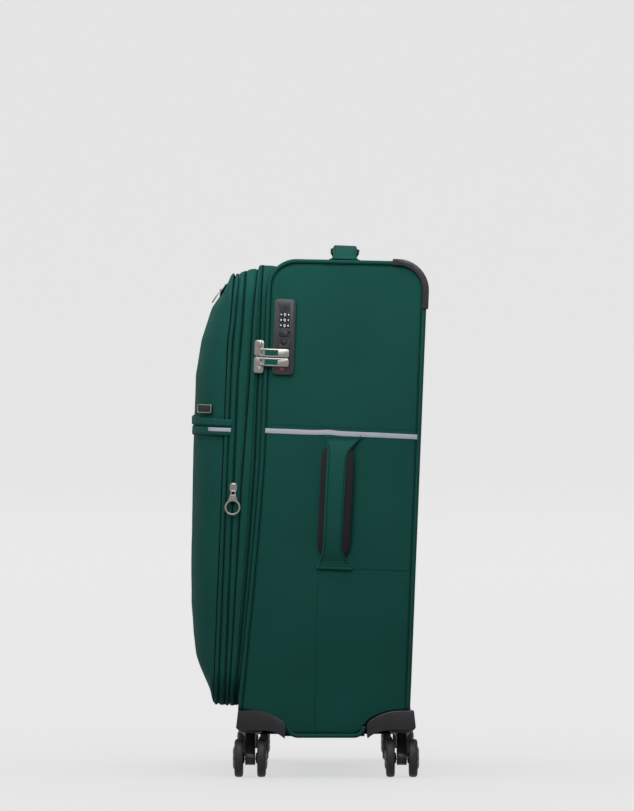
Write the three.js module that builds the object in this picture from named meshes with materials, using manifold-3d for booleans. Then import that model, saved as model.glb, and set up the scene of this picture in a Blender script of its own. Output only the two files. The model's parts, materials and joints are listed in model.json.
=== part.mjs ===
// A large soft-sided spinner suitcase, standing on its four twin-wheel casters.
// Millimetres. +Z up, floor at Z = 0, front pockets towards -Y, back panel towards +Y, lock and side
// handle on the +X side. The casters stand plumb, and the fabric case leans back by CASE_LEAN, so the
// case is built in a leaning group whose heights are measured along the case.

import * as THREE from "three";
import { mergeVertices } from "three/addons/utils/BufferGeometryUtils.js";
import Module from "manifold-3d";

const wasm = await Module();
wasm.setup();

// ---------------------------------------------------------------- driving dimensions
const GAP = 0.3; // left between neighbouring pieces
const CURVE_STEPS = 5; // facets in each rounded corner

// case
const CASE_LEAN = THREE.MathUtils.degToRad(2.3);
const LEAN_PIVOT_Z = 60;
const SIDE_X = 238; // half width over the fabric side panels
const WALL = 5;
const LIP = 4; // front border that the main zip is sewn to
const FRONT_Y = -91; // front edge of the side panel, upper half
const BACK_Y = 149;
const TOP_FRONT_Z = 777.3;
const TOP_REAR_Z = 780.3;
const BOTTOM_FRONT_Z = 55.4;
const BOTTOM_REAR_Z = 65.8;
const TOP_CORNER_R = 44;
const BOTTOM_CORNER_R = 20;
const FLARE_TOP_Z = 480; // below this height the front edge runs forward
const FLARE_FOOT_Z = 60;
const FLARE_REACH = 21.8;
const FLARE_POWER = 1.31;
const FLARE_MOST = 0.87; // below this share of the flare the edge drops straight

// lid, expansion band and pockets, as half width, lowest and highest edge
const LID = { half: 237, low: 102, high: 768, corner: 55 };
const LID_WALL = 8;
const LID_FRONT_Y = -128; // the expansion zip parts lid and front here
const MOUTH_X = LID.half - LID_WALL - 1;
const GUSSET_INSET = 4;
const GUSSET_DEPTH = 3;
const PANEL_REAR_Y = LID_FRONT_Y - GUSSET_DEPTH - 2 * GAP;
const PANEL_FRONT_Y = -146.5;
const PANEL_SKIN = 4;
const POCKET = { half: 232, low: 105, high: 754, corner: 52 };
const POCKET_DEPTH = 50;
const POCKET_SKIN = 3;
const BAND_PROUD = 3;
const BAND_HEIGHT = 30.5;
const BAND_TOP_Z = 539; // at the front of the pockets
const BAND_DIP = 9; // the band is lower at the sides
const POCKET_Y = PANEL_FRONT_Y - GAP;
// channel that the lower pocket's zip runs in, between the two covers of the band
const ZIP_WAY = { half: 190, z: 524, height: 11, y: -193.2, depth: 7 };

// casters and their housings, standing plumb
const CASTER_MID_Y = 24.5;
const CASTER_HALF_Y = 114;
const CASTER_X = 198;
const CASTER_TRAIL = 20;
const HOUSING_HALF_Y = 135;
const HOUSING_X = 243.5;
const HOUSING_FLAT_Z = 71.3; // underside that the caster turns on
const HOUSING_TOP_Z = 101;
const HOUSING_TIP_Z = 58.8;
const HOUSING_LENGTH = 74;
const CUT_PAST = 40; // how far the clearance cut runs out past the corner, for each millimetre of gap
const WHEEL_R = 28.6; // to the middle of a facet
const WHEEL_FACETS = 20;
const WHEEL_SIDE = 17; // from the fork's middle to the wheel's middle
const WHEEL_WIDTH = 13;
const AXLE_R = 3;
const FORK_WIDTH = 15;
const FLANGE_R = 17.5;
const FLANGE_TOP_Z = HOUSING_FLAT_Z - GAP;
const KINGPIN_R = 5;

// telescopic handle
const TUBE_X = 84;
const TUBE_Y = 124;
const TUBE_SIZES = { outer: [24, 16], mid: [20.6, 12.6], inner: [17.2, 9.2] };
const TUBE_WALL = 1.2;
const CUP = { half: 132, front: 88, rear: 142, low: 728, wall: 3 };
const GRIP = { half: 118, front: 113, rear: 135, low: 748, high: 764 };

// corner guards at the top of the back
const GUARD = { innerX: 196, sideX: SIDE_X + 4.5, proud: 3, lip: 6.5, forward: 9, down: 26 };
const GUARD_SEAT = 0.5; // how far the shell is sunk under them

// side furniture
const LOCK = { y: -62.5, z: 659.5, width: 32, height: 113, face: 242.5 };
const DIAL_Z = [676.6, 684.8, 693];
const DIAL_R = 9;
const DIAL_X = 234;
const CHAIN_Y = -99;
const EXPANSION_CHAIN_Y = -129.5;

// ---------------------------------------------------------------- materials
const look = (color, roughness, metalness) =>
  new THREE.MeshStandardMaterial({ color, roughness, metalness });
const GREEN_TWILL = () => look(0x134a42, 0.8, 0);
const LINING = () => look(0x3c4442, 0.9, 0);
const BLACK_PLASTIC = () => look(0x28282b, 0.5, 0);
const GREY_PLASTIC = () => look(0x3f4448, 0.35, 0);
const TYRE = () => look(0x2c2c2f, 0.75, 0);
const NICKEL = () => look(0x918e89, 0.3, 1);
const ALUMINIUM = () => look(0xb4b6b8, 0.3, 1);
const STEEL = () => look(0x8a8c90, 0.35, 1);

// ---------------------------------------------------------------- solids
function solid(geometry) {
  const plain = geometry.clone();
  plain.deleteAttribute("normal");
  plain.deleteAttribute("uv");
  const merged = mergeVertices(plain, 1e-4);
  return new wasm.Manifold(
    new wasm.Mesh({
      numProp: 3,
      vertProperties: new Float32Array(merged.attributes.position.array),
      triVerts: new Uint32Array(merged.index.array),
    }),
  );
}

function geometryOf(body) {
  const mesh = body.getMesh();
  const geometry = new THREE.BufferGeometry();
  geometry.setAttribute("position", new THREE.BufferAttribute(mesh.vertProperties, 3));
  geometry.setIndex(new THREE.BufferAttribute(mesh.triVerts, 1));
  geometry.computeVertexNormals();
  return geometry;
}

const moved = (body, matrix) => solid(geometryOf(body).applyMatrix4(matrix));

function box(x0, x1, y0, y1, z0, z1) {
  const geometry = new THREE.BoxGeometry(x1 - x0, y1 - y0, z1 - z0);
  return solid(geometry.translate((x0 + x1) / 2, (y0 + y1) / 2, (z0 + z1) / 2));
}

const AXIS_X = new THREE.Vector3(1, 0, 0);
const AXIS_Y = new THREE.Vector3(0, 1, 0);
const AXIS_Z = new THREE.Vector3(0, 0, 1);
const YZ_TO_X = new THREE.Matrix4().makeBasis(AXIS_Y, AXIS_Z, AXIS_X);
const XZ_TO_Y = new THREE.Matrix4().makeBasis(AXIS_X, AXIS_Z, AXIS_Y.clone().negate());

function extrude(outline, depth) {
  return new THREE.ExtrudeGeometry(outline, {
    depth,
    bevelEnabled: false,
    curveSegments: CURVE_STEPS,
  });
}

// A (Y, Z) outline from x0 to x1, an (X, Z) outline from y0 to y1, and an (X, Y) outline from z0 to z1.
const slabX = (outline, x0, x1) =>
  solid(extrude(outline, x1 - x0).applyMatrix4(YZ_TO_X).translate(x0, 0, 0));
const slabY = (outline, y0, y1) =>
  solid(extrude(outline, y1 - y0).applyMatrix4(XZ_TO_Y).translate(0, y1, 0));
const slabZ = (outline, z0, z1) => solid(extrude(outline, z1 - z0).translate(0, 0, z0));

function rodZ(radius, z0, z1, x, y, facets = 16) {
  const geometry = new THREE.CylinderGeometry(radius, radius, z1 - z0, facets);
  return solid(geometry.rotateX(Math.PI / 2).translate(x, y, (z0 + z1) / 2));
}

function rodY(radius, y0, y1, x, z, facets = 16) {
  const geometry = new THREE.CylinderGeometry(radius, radius, y1 - y0, facets);
  return solid(geometry.translate(x, (y0 + y1) / 2, z));
}

function rodX(radius, x0, x1, y, z, facets = 16) {
  const geometry = new THREE.CylinderGeometry(radius, radius, x1 - x0, facets);
  return solid(geometry.rotateZ(Math.PI / 2).translate((x0 + x1) / 2, y, z));
}

function roundRect(u0, u1, v0, v1, r) {
  const outline = new THREE.Shape();
  outline.moveTo(u0 + r, v0);
  outline.lineTo(u1 - r, v0);
  outline.absarc(u1 - r, v0 + r, r, -Math.PI / 2, 0);
  outline.lineTo(u1, v1 - r);
  outline.absarc(u1 - r, v1 - r, r, 0, Math.PI / 2);
  outline.lineTo(u0 + r, v1);
  outline.absarc(u0 + r, v1 - r, r, Math.PI / 2, Math.PI);
  outline.lineTo(u0, v0 + r);
  outline.absarc(u0 + r, v0 + r, r, Math.PI, 1.5 * Math.PI);
  return outline;
}

const polygon = (points) => new THREE.Shape(points.map(([u, v]) => new THREE.Vector2(u, v)));

const span = (from, to, steps) =>
  Array.from({ length: steps + 1 }, (_, i) => from + ((to - from) * i) / steps);

// ---------------------------------------------------------------- scene graph
const suitcase = new THREE.Group();
const base = new THREE.Group(); // plumb: casters and housings
const lean = new THREE.Group(); // leans back about a line across the case's foot
const body = new THREE.Group(); // the leaning case, with heights measured from the floor
lean.position.z = LEAN_PIVOT_Z;
lean.rotation.x = -CASE_LEAN;
body.position.z = -LEAN_PIVOT_Z;
lean.add(body);
suitcase.add(base, lean);
suitcase.updateMatrixWorld(true);
const INTO_BODY = body.matrixWorld.clone().invert();

function part(parent, name, shape, material) {
  const mesh = new THREE.Mesh(geometryOf(shape), material);
  mesh.name = name;
  parent.add(mesh);
  return mesh;
}

// ---------------------------------------------------------------- case shell
function frontEdge(z) {
  const share = (FLARE_TOP_Z - z) / (FLARE_TOP_Z - FLARE_FOOT_Z);
  const low = THREE.MathUtils.clamp(share, 0, FLARE_MOST);
  return FRONT_Y - FLARE_REACH * low ** FLARE_POWER;
}

// Side view of the case, grown or shrunk by inset.
function caseOutline(inset, front = inset) {
  const bottom = (y) =>
    THREE.MathUtils.mapLinear(y, -110, BACK_Y, BOTTOM_FRONT_Z, BOTTOM_REAR_Z) + inset;
  const rear = BACK_Y - inset;
  const topR = TOP_CORNER_R - inset;
  const lowR = BOTTOM_CORNER_R - inset;
  const foot = BOTTOM_FRONT_Z + inset + lowR;
  const outline = new THREE.Shape();
  const heelY = frontEdge(foot) + front + lowR;
  outline.moveTo(heelY, bottom(heelY));
  outline.lineTo(rear - lowR, bottom(rear - lowR));
  outline.absarc(rear - lowR, bottom(rear - lowR) + lowR, lowR, -Math.PI / 2, 0);
  outline.lineTo(rear, TOP_REAR_Z - inset - topR);
  outline.absarc(rear - topR, TOP_REAR_Z - inset - topR, topR, 0, Math.PI / 2);
  outline.lineTo(FRONT_Y + front + topR, TOP_FRONT_Z - inset);
  outline.absarc(
    FRONT_Y + front + topR,
    TOP_FRONT_Z - inset - topR,
    topR,
    Math.PI / 2,
    Math.PI,
  );
  for (const z of span(FLARE_TOP_Z, foot, 6)) outline.lineTo(frontEdge(z) + front, z);
  outline.absarc(heelY, foot, lowR, Math.PI, 1.5 * Math.PI);
  return outline;
}

const frameOutline = ({ half, low, high, corner }, inset) =>
  roundRect(-half + inset, half - inset, low + inset, high - inset, corner - inset);

function frameRing(frame, inset, wall, y0, y1) {
  const outer = slabY(frameOutline(frame, inset), y0, y1);
  return outer.subtract(slabY(frameOutline(frame, inset + wall), y0 - 1, y1 + 1));
}

// Wheel housing: u and v run inwards from the case's corner, along Y and along X. The housing itself
// has grow 0; the clearance cut out of the case is grown and runs out past the corner and down to low.
function housingOutline(toAxis, grow, low) {
  const top = HOUSING_TOP_Z + grow;
  const end = HOUSING_LENGTH + grow;
  const at = (u, z) => [toAxis(u), z];
  const outline = new THREE.Shape();
  if (low === undefined) {
    outline.moveTo(...at(4, HOUSING_FLAT_Z));
    outline.lineTo(...at(40, HOUSING_FLAT_Z));
    outline.quadraticCurveTo(...at(60, HOUSING_FLAT_Z), ...at(end - 1, HOUSING_TIP_Z));
  } else {
    outline.moveTo(...at(-CUT_PAST * grow, low));
    outline.lineTo(...at(end, low));
  }
  outline.lineTo(...at(end, 77));
  outline.quadraticCurveTo(...at(end, 85), ...at(end - 9, 89 + grow));
  outline.quadraticCurveTo(...at(46, top), ...at(24, top));
  outline.lineTo(...at(3 - CUT_PAST * grow, top));
  outline.lineTo(...at(-CUT_PAST * grow, low ?? 75));
  return outline;
}

function housingBlock(sideX, sideY, grow, low) {
  const toY = (u) => CASTER_MID_Y + sideY * (HOUSING_HALF_Y - u);
  const toX = (v) => sideX * (HOUSING_X - v);
  const past = -CUT_PAST * grow;
  const outer = [toX(past), toX(HOUSING_LENGTH + grow)];
  const ends = [toY(past), toY(HOUSING_LENGTH + grow)];
  const [x0, x1] = [Math.min(...outer), Math.max(...outer)];
  const [y0, y1] = [Math.min(...ends), Math.max(...ends)];
  const alongY = slabX(housingOutline(toY, grow, low), x0, x1);
  const alongX = slabY(housingOutline(toX, grow, low ?? HOUSING_TIP_Z - 1), y0, y1);
  return alongY.intersect(alongX);
}

function lockBody(grow) {
  const plate = roundRect(
    LOCK.y - LOCK.width / 2 - grow,
    LOCK.y + LOCK.width / 2 + grow,
    LOCK.z - LOCK.height / 2 - grow,
    LOCK.z + LOCK.height / 2 + grow,
    6,
  );
  const works = box(
    DIAL_X - DIAL_R - 2 - grow,
    SIDE_X + 1,
    LOCK.y - 12 - grow,
    LOCK.y + 12 + grow,
    LOCK.z - 22 - grow,
    DIAL_Z[2] + 7 + grow,
  );
  return slabX(plate, SIDE_X + GAP, LOCK.face).add(works);
}

function mainShell() {
  const outside = slabX(caseOutline(0), -SIDE_X, SIDE_X);
  const inside = slabX(caseOutline(WALL, LIP), -SIDE_X + WALL, SIDE_X - WALL);
  const mouth = slabY(frameOutline(LID, LID_WALL + 1), -140, FRONT_Y + 30);
  let shell = outside.subtract(inside).subtract(mouth);
  for (const sideX of [-1, 1])
    for (const sideY of [-1, 1])
      shell = shell.subtract(moved(housingBlock(sideX, sideY, GAP, 40), INTO_BODY));
  for (const side of [-1, 1]) shell = shell.subtract(guardBody(side, GAP, GUARD_SEAT));
  return shell.subtract(lockBody(GAP)).subtract(cupBlock(GAP));
}

// ---------------------------------------------------------------- telescopic handle
const cupBlock = (grow) =>
  box(
    -CUP.half - grow,
    CUP.half + grow,
    CUP.front - grow,
    CUP.rear + grow,
    CUP.low - grow,
    TOP_REAR_Z + 5,
  );

function tubeBar([width, depth], sideX, z0, z1, grow = 0) {
  const [w, d] = [width / 2 + grow, depth / 2 + grow];
  return box(sideX * TUBE_X - w, sideX * TUBE_X + w, TUBE_Y - d, TUBE_Y + d, z0, z1);
}

function tube(size, sideX, z0, z1) {
  return tubeBar(size, sideX, z0, z1).subtract(
    tubeBar(size, sideX, z0 - 1, z1 + 1, -TUBE_WALL),
  );
}

function handleCup() {
  const rim = slabX(caseOutline(0.8), -CUP.half, CUP.half);
  const block = cupBlock(0).intersect(rim);
  const { half, front, rear, low, wall } = CUP;
  let cup = block.subtract(
    box(-half + wall, half - wall, front + wall, rear - wall, low + wall, TOP_REAR_Z + 9),
  );
  for (const sideX of [-1, 1])
    cup = cup.subtract(tubeBar(TUBE_SIZES.mid, sideX, low - 1, low + wall + 1, 0.4));
  return cup;
}

function trolleyGrip() {
  const { half, front, rear, low, high } = GRIP;
  const bar = slabX(roundRect(front, rear, low, high, 6), -half, half);
  const button = box(-21, 21, TUBE_Y - 7.5, TUBE_Y + 7.5, high - 6, high + 1);
  return bar.subtract(button);
}

// ---------------------------------------------------------------- handles of webbing
// Arched strap: the outline is given by its two ends, its rise and its thickness.
function archOutline(from, to, seat, rise, thickness, toPoint) {
  const middle = (from + to) / 2;
  const half = (to - from) / 2;
  const height = (s) => rise * (1 - Math.abs((s - middle) / half) ** 3);
  const stations = span(from, to, 12);
  const upper = stations.map((s) => toPoint(s, seat + thickness + height(s)));
  const lower = stations.map((s) => toPoint(s, seat + height(s)));
  return polygon([...upper, ...lower.reverse()]);
}

function sideHandle() {
  const seat = SIDE_X + GAP;
  const toPoint = (z, x) => [x, z];
  const strap = slabY(archOutline(326, 507, seat, 8.5, 4.5, toPoint), 9, 39);
  const pad = slabY(archOutline(332, 501, seat, 7.5, 4, toPoint), 0, 50);
  const topPatch = box(seat, seat + 3, 2, 61, 500, 517);
  const lowPatch = box(seat, seat + 3, -1, 57, 316, 333);
  return strap.add(pad).add(topPatch).add(lowPatch);
}

function topHandle() {
  const seat = TOP_REAR_Z + GAP;
  const toPoint = (x, z) => [x, z];
  const strap = slabY(archOutline(-108, 108, seat, 24.5, 4.5, toPoint), 6, 43);
  const pad = slabY(archOutline(-88, 88, seat + 8, 14.5, 5, toPoint), 2, 47);
  const patches = [-1, 1].map((side) => {
    const ends = [side * 96, side * 124];
    return box(Math.min(...ends), Math.max(...ends), -4, 52, seat, seat + 3);
  });
  return strap.add(pad).add(patches[0]).add(patches[1]);
}

// ---------------------------------------------------------------- corner guards
function guardBand(inset, past = 0) {
  const r = TOP_CORNER_R - inset;
  const y = BACK_Y - TOP_CORNER_R;
  const z = TOP_REAR_Z - TOP_CORNER_R;
  const outline = new THREE.Shape();
  outline.moveTo(y - GUARD.forward - past, z);
  outline.lineTo(y - GUARD.forward - past, z + r);
  outline.lineTo(y, z + r);
  outline.absarc(y, z, r, Math.PI / 2, 0, true);
  outline.lineTo(y + r, z - GUARD.down - past);
  outline.lineTo(y, z - GUARD.down - past);
  return outline;
}

// Corner guard, or with grow the seat cut for it: the shell is sunk by depth under the whole guard.
function guardBody(side, grow, depth) {
  const outerX = GUARD.sideX + 3 * grow;
  const reach = [side * (GUARD.innerX - grow), side * outerX];
  const lip = [side * (SIDE_X - depth), side * outerX];
  const [x0, x1] = [Math.min(...reach), Math.max(...reach)];
  const outer = guardBand(-GUARD.proud - 3 * grow, grow);
  const hollow = slabX(guardBand(depth, 1), x0 - 1, x1 + 1).add(
    box(x0 - 1, x1 + 1, 60, 99, 650, TOP_REAR_Z - depth),
  );
  const wrap = slabX(outer, x0, x1).subtract(hollow);
  const within = slabX(guardBand(GUARD.lip + grow, 1), x0 - 1, x1 + 1).add(
    box(x0 - 1, x1 + 1, 60, 95, 650, TOP_REAR_Z - GUARD.lip - 3.8 - grow),
  );
  const edge = slabX(outer, Math.min(...lip), Math.max(...lip)).subtract(within);
  const front = BACK_Y - TOP_CORNER_R - GUARD.forward - grow;
  const foot = TOP_REAR_Z - TOP_CORNER_R - GUARD.down - grow;
  return wrap.add(edge).intersect(box(x0, x1, front, 160, foot, 800));
}

const cornerGuard = (side) => guardBody(side, 0, -GAP);

// ---------------------------------------------------------------- lid, front and pockets
function lidFrame() {
  const ring = frameRing(LID, 0, LID_WALL, LID_FRONT_Y, FRONT_Y + 20);
  return ring.subtract(slabX(caseOutline(-GAP), -300, 300));
}

function frontPanel() {
  const outer = slabY(frameOutline(LID, 0.5), PANEL_FRONT_Y, PANEL_REAR_Y);
  const inner = slabY(frameOutline(LID, 6.5), PANEL_FRONT_Y + PANEL_SKIN, PANEL_REAR_Y + 1);
  return outer.subtract(inner);
}

// Plan of the pockets: nearly flat in front and rounded to the sides.
function pocketPlan(half, depth) {
  const bulge = (x) => depth * (1 - Math.abs(x / half) ** 6) ** 0.6;
  const right = [0.5, 0.72, 0.83, 0.91, 0.96, 0.985, 1];
  const stations = [...right.map((s) => -s).reverse(), 0, ...right];
  const front = stations.map((s) => [s * half, POCKET_Y - bulge(s * half)]);
  return polygon([[-half, POCKET_Y + 20], ...front, [half, POCKET_Y + 20]]);
}

// Side view of both pockets, as the front face's distance from the panel at each height.
const POCKET_PROFILE = [
  [105, 2],
  [123, 7.5],
  [143, 17],
  [163, 27],
  [174, 32],
  [204, 36.5],
  [251, 42],
  [314, 45.5],
  [400, 47.5],
  [507, 49],
  [600, 50.3],
  [654, 44],
  [702, 29.2],
  [723, 15.1],
  [744, 3.5],
  [754, 1.2],
];

function pocketBody(inset, low, high) {
  const front = POCKET_PROFILE.map(([z, reach]) => [POCKET_Y - reach + inset, z]);
  const side = polygon([[POCKET_Y + 20, POCKET.low], ...front, [POCKET_Y + 20, POCKET.high]]);
  const whole = slabX(side, -POCKET.half + inset, POCKET.half - inset)
    .intersect(slabZ(pocketPlan(POCKET.half - inset, POCKET_DEPTH + 1 - inset), 100, 780))
    .intersect(slabY(frameOutline(POCKET, inset), -230, POCKET_Y + 10));
  const dipped = (z) => [
    [-230, z],
    [-195, z],
    [POCKET_Y, z - BAND_DIP],
    [POCKET_Y + 10, z - BAND_DIP],
  ];
  const slice = polygon([...dipped(low), ...dipped(high).reverse()]);
  const cut = box(-300, 300, POCKET_Y, POCKET_Y + 50, 0, 900);
  return whole.intersect(slabX(slice, -300, 300)).subtract(cut);
}

function pocket(low, high) {
  const outside = pocketBody(0, low, high);
  const inside = pocketBody(POCKET_SKIN, low + POCKET_SKIN, high - POCKET_SKIN);
  const mouth = moved(inside, new THREE.Matrix4().makeTranslation(0, POCKET_SKIN + 1, 0));
  return outside.subtract(inside.add(mouth));
}

function zipBand() {
  const low = BAND_TOP_Z - BAND_HEIGHT + GAP;
  const high = BAND_TOP_Z - GAP;
  const outside = pocketBody(-BAND_PROUD, low, high);
  const inside = pocketBody(ZIP_WAY.depth + 1, low - 40, high + 40);
  const mouth = moved(inside, new THREE.Matrix4().makeTranslation(0, ZIP_WAY.depth + 5, 0));
  const { half, z, height, y } = ZIP_WAY;
  const way = box(-half, half, y - 20, y, z - height / 2, z + height / 2);
  return outside.subtract(inside.add(mouth)).subtract(way);
}

// ---------------------------------------------------------------- zip hardware
function zipSlider(length, width, upsideDown) {
  const shoe = slabX(roundRect(-width / 2, width / 2, -length / 2, length / 2, 4), 0, 3.2);
  const [z0, z1] = upsideDown ? [-length / 2 + 1.5, -2.5] : [2.5, length / 2 - 1.5];
  return shoe.add(box(3, 7, -2.5, 2.5, z0, z1));
}

function lockPuller(length, width) {
  const tongue = slabX(roundRect(0, length, -width / 2, width / 2, 3), 0, 2.2);
  return tongue.subtract(box(-1, 3, 2, 5, -3, 3));
}

function ringPuller() {
  const drop = 24.5;
  const [outerR, holeR] = [12, 9.1];
  const rim = rodX(outerR, 0, 2.2, 0, -drop, 24);
  const neck = slabX(
    polygon([
      [-3.5, 1],
      [3.5, 1],
      [5, -8],
      [7.5, -16],
      [-7.5, -16],
      [-5, -8],
    ]),
    0,
    2.2,
  );
  const eye = slabX(
    polygon([
      [-1.8, -1.5],
      [1.8, -1.5],
      [2.6, -5.5],
      [-2.6, -5.5],
    ]),
    -1,
    4,
  );
  return rim.add(neck).subtract(rodX(holeR, -1, 4, 0, -drop, 24)).subtract(eye);
}

const pocketSlider = () => box(-9, 9, -4.5, 4.5, 0, 3).add(box(-6, 6, -2, 2, 2.9, 5.5));
const PULLER = { width: 7, thick: 1.8, lift: 3.5 };

// ---------------------------------------------------------------- lock
function lockPlate() {
  let lock = lockBody(0);
  lock = lock.add(box(LOCK.face - 1, LOCK.face + 1.2, LOCK.y - 10, LOCK.y + 10, 643, 668.5));
  for (const z of DIAL_Z) {
    lock = lock.subtract(rodZ(DIAL_R + 0.4, z - 3.2, z + 3.2, DIAL_X, LOCK.y, 24));
    lock = lock.subtract(box(240, 246, LOCK.y - 7, LOCK.y + 7, z - 3.2, z + 3.2));
  }
  const buttonWay = box(240, 246, LOCK.y - 7.5, LOCK.y + 9.5, 659.5, 668);
  const keyWay = rodX(4.8, 232, 246, LOCK.y, 651);
  return lock.subtract(buttonWay).subtract(keyWay);
}

// ---------------------------------------------------------------- casters
function casterFork(x, y, outward) {
  const profile = [
    [0, 52],
    [7.5, 52],
    [8, 60],
    [12, 65],
    [FLANGE_R, 66.3],
    [FLANGE_R, FLANGE_TOP_Z],
    [0, FLANGE_TOP_Z],
  ].map(([r, z]) => new THREE.Vector2(r, z));
  const neck = solid(new THREE.LatheGeometry(profile, 20).rotateX(Math.PI / 2));
  const arm = slabY(
    polygon([
      [-8, 62],
      [8.5, 62],
      [8.5, 50],
      [-CASTER_TRAIL + 10.2, WHEEL_R - 2],
      [-CASTER_TRAIL - 3, WHEEL_R - 10],
      [-CASTER_TRAIL - 10.2, WHEEL_R + 2],
    ].map(([u, z]) => [outward * -u, z])),
    -FORK_WIDTH / 2,
    FORK_WIDTH / 2,
  );
  const hub = rodY(10.5, -FORK_WIDTH / 2, FORK_WIDTH / 2, outward * CASTER_TRAIL, WHEEL_R, 20);
  const pin = rodZ(KINGPIN_R, FLANGE_TOP_Z - 2, HOUSING_FLAT_Z + 13, 0, 0);
  const bore = rodY(AXLE_R + GAP, -20, 20, outward * CASTER_TRAIL, WHEEL_R);
  const fork = neck.add(arm).add(hub).add(pin).subtract(bore);
  return moved(fork, new THREE.Matrix4().makeTranslation(x, y, 0));
}

// One wheel, with its blind bore open towards the fork. side is +1 or -1 along Y.
function casterWheel(side) {
  const facetR = WHEEL_R / Math.cos(Math.PI / WHEEL_FACETS);
  const face = WHEEL_SIDE - WHEEL_WIDTH / 2;
  const back = WHEEL_SIDE + WHEEL_WIDTH / 2;
  const bore = AXLE_R + GAP;
  const profile = [
    [0, back - 3],
    [bore, back - 3],
    [bore, FORK_WIDTH / 2 + 0.5],
    [7, FORK_WIDTH / 2 + 0.5],
    [9, face],
    [facetR - 1.5, face],
    [facetR, face + 2],
    [facetR, back - 2],
    [facetR - 1.5, back],
    [19, back + 1.2],
    [0, back + 2.6],
  ];
  const points = profile.map(([r, y]) => new THREE.Vector2(r, side * y));
  if (side < 0) points.reverse();
  return solid(
    new THREE.LatheGeometry(points, WHEEL_FACETS, Math.PI / WHEEL_FACETS, 2 * Math.PI),
  );
}

// ---------------------------------------------------------------- assembly: plumb base
const CORNERS = [
  ["front_left", -1, -1],
  ["front_right", 1, -1],
  ["rear_left", -1, 1],
  ["rear_right", 1, 1],
];
for (const [corner, sideX, sideY] of CORNERS) {
  const [x, y] = [sideX * CASTER_X, CASTER_MID_Y + sideY * CASTER_HALF_Y];
  const wheelX = x + sideX * CASTER_TRAIL;
  const socket = rodZ(KINGPIN_R + GAP, 60, HOUSING_FLAT_Z + 14, x, y);
  part(
    base,
    "wheel_housing_" + corner,
    housingBlock(sideX, sideY, 0).subtract(socket),
    BLACK_PLASTIC(),
  );
  part(base, "caster_fork_" + corner, casterFork(x, y, sideX), BLACK_PLASTIC());
  const axleHalf = WHEEL_SIDE + WHEEL_WIDTH / 2 - 4;
  const axle = rodY(AXLE_R, y - axleHalf, y + axleHalf, wheelX, WHEEL_R);
  part(base, "caster_axle_" + corner, axle, STEEL());
  for (const [label, side] of [["a", -1], ["b", 1]]) {
    const wheel = part(base, "wheel_" + corner + "_" + label, casterWheel(side), TYRE());
    wheel.position.set(wheelX, y, WHEEL_R);
  }
}

// ---------------------------------------------------------------- assembly: leaning case
part(body, "main_shell", mainShell(), GREEN_TWILL());
part(
  body,
  "inner_back_panel",
  box(-225, 225, TUBE_Y - 12, TUBE_Y - 10, 112, CUP.low - 6),
  LINING(),
);
part(body, "corner_guard_left", cornerGuard(-1), BLACK_PLASTIC());
part(body, "corner_guard_right", cornerGuard(1), BLACK_PLASTIC());
part(body, "handle_cup", handleCup(), BLACK_PLASTIC());
part(
  body,
  "tube_foot",
  box(-TUBE_X - 20, TUBE_X + 20, TUBE_Y - 9.5, TUBE_Y + 12, 74, 88),
  BLACK_PLASTIC(),
);
for (const [side, sideX] of [["left", -1], ["right", 1]]) {
  const top = CUP.low - GAP;
  part(body, "outer_tube_" + side, tube(TUBE_SIZES.outer, sideX, 88 + GAP, top), ALUMINIUM());
  part(body, "mid_tube_" + side, tube(TUBE_SIZES.mid, sideX, 92, 740), ALUMINIUM());
  part(body, "inner_tube_" + side, tube(TUBE_SIZES.inner, sideX, 96, GRIP.low - GAP), ALUMINIUM());
}
part(body, "trolley_grip", trolleyGrip(), BLACK_PLASTIC());
part(
  body,
  "trolley_button",
  box(-20, 20, TUBE_Y - 6.5, TUBE_Y + 6.5, GRIP.high - 1.5, GRIP.high + 3.5),
  GREY_PLASTIC(),
);
part(body, "top_handle", topHandle(), GREEN_TWILL());
part(body, "side_handle", sideHandle(), GREEN_TWILL());
part(
  body,
  "lid_hinge_strip",
  box(-MOUTH_X + GAP, -MOUTH_X + 2, -98, -80, 170, 700),
  LINING(),
);

part(body, "lid_frame", lidFrame(), GREEN_TWILL());
part(
  body,
  "expansion_gusset",
  frameRing(LID, GUSSET_INSET, 3.5, LID_FRONT_Y - GAP - GUSSET_DEPTH, LID_FRONT_Y - GAP),
  GREEN_TWILL(),
);
part(body, "front_panel", frontPanel(), GREEN_TWILL());
part(body, "upper_pocket", pocket(BAND_TOP_Z, 800), GREEN_TWILL());
part(body, "lower_pocket", pocket(60, BAND_TOP_Z - BAND_HEIGHT), GREEN_TWILL());
part(body, "pocket_zip_band", zipBand(), GREEN_TWILL());

const BADGE = { x: 214.9, y: -176.4, z: 547.5, turn: THREE.MathUtils.degToRad(39) };
const badge = part(body, "badge", box(-17, 17, -2.2, 0, -6.5, 6.5), GREY_PLASTIC());
badge.position.set(BADGE.x, BADGE.y, BADGE.z);
badge.rotation.z = BADGE.turn;

// ---------------------------------------------------------------- assembly: zips
const MAIN_SLIDERS = [
  ["upper", 641.3, 634.8, false],
  ["lower", 616, 621, true],
];
for (const [label, sliderZ, pullerZ, upsideDown] of MAIN_SLIDERS) {
  const slider = part(
    body,
    "main_slider_" + label,
    zipSlider(24, 14.5, upsideDown),
    NICKEL(),
  );
  slider.position.set(SIDE_X + GAP, CHAIN_Y, sliderZ);
  const puller = part(body, "main_puller_" + label, lockPuller(45, 12.4), NICKEL());
  puller.position.set(LOCK.face + 2.6, CHAIN_Y, pullerZ);
}
const expansionSlider = part(body, "expansion_slider", zipSlider(14, 11, false), NICKEL());
expansionSlider.position.set(LID.half + GAP, EXPANSION_CHAIN_Y, 430.5);
const ring = part(body, "ring_puller", ringPuller(), NICKEL());
ring.position.set(LID.half + 5, EXPANSION_CHAIN_Y, 425.5);

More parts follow.
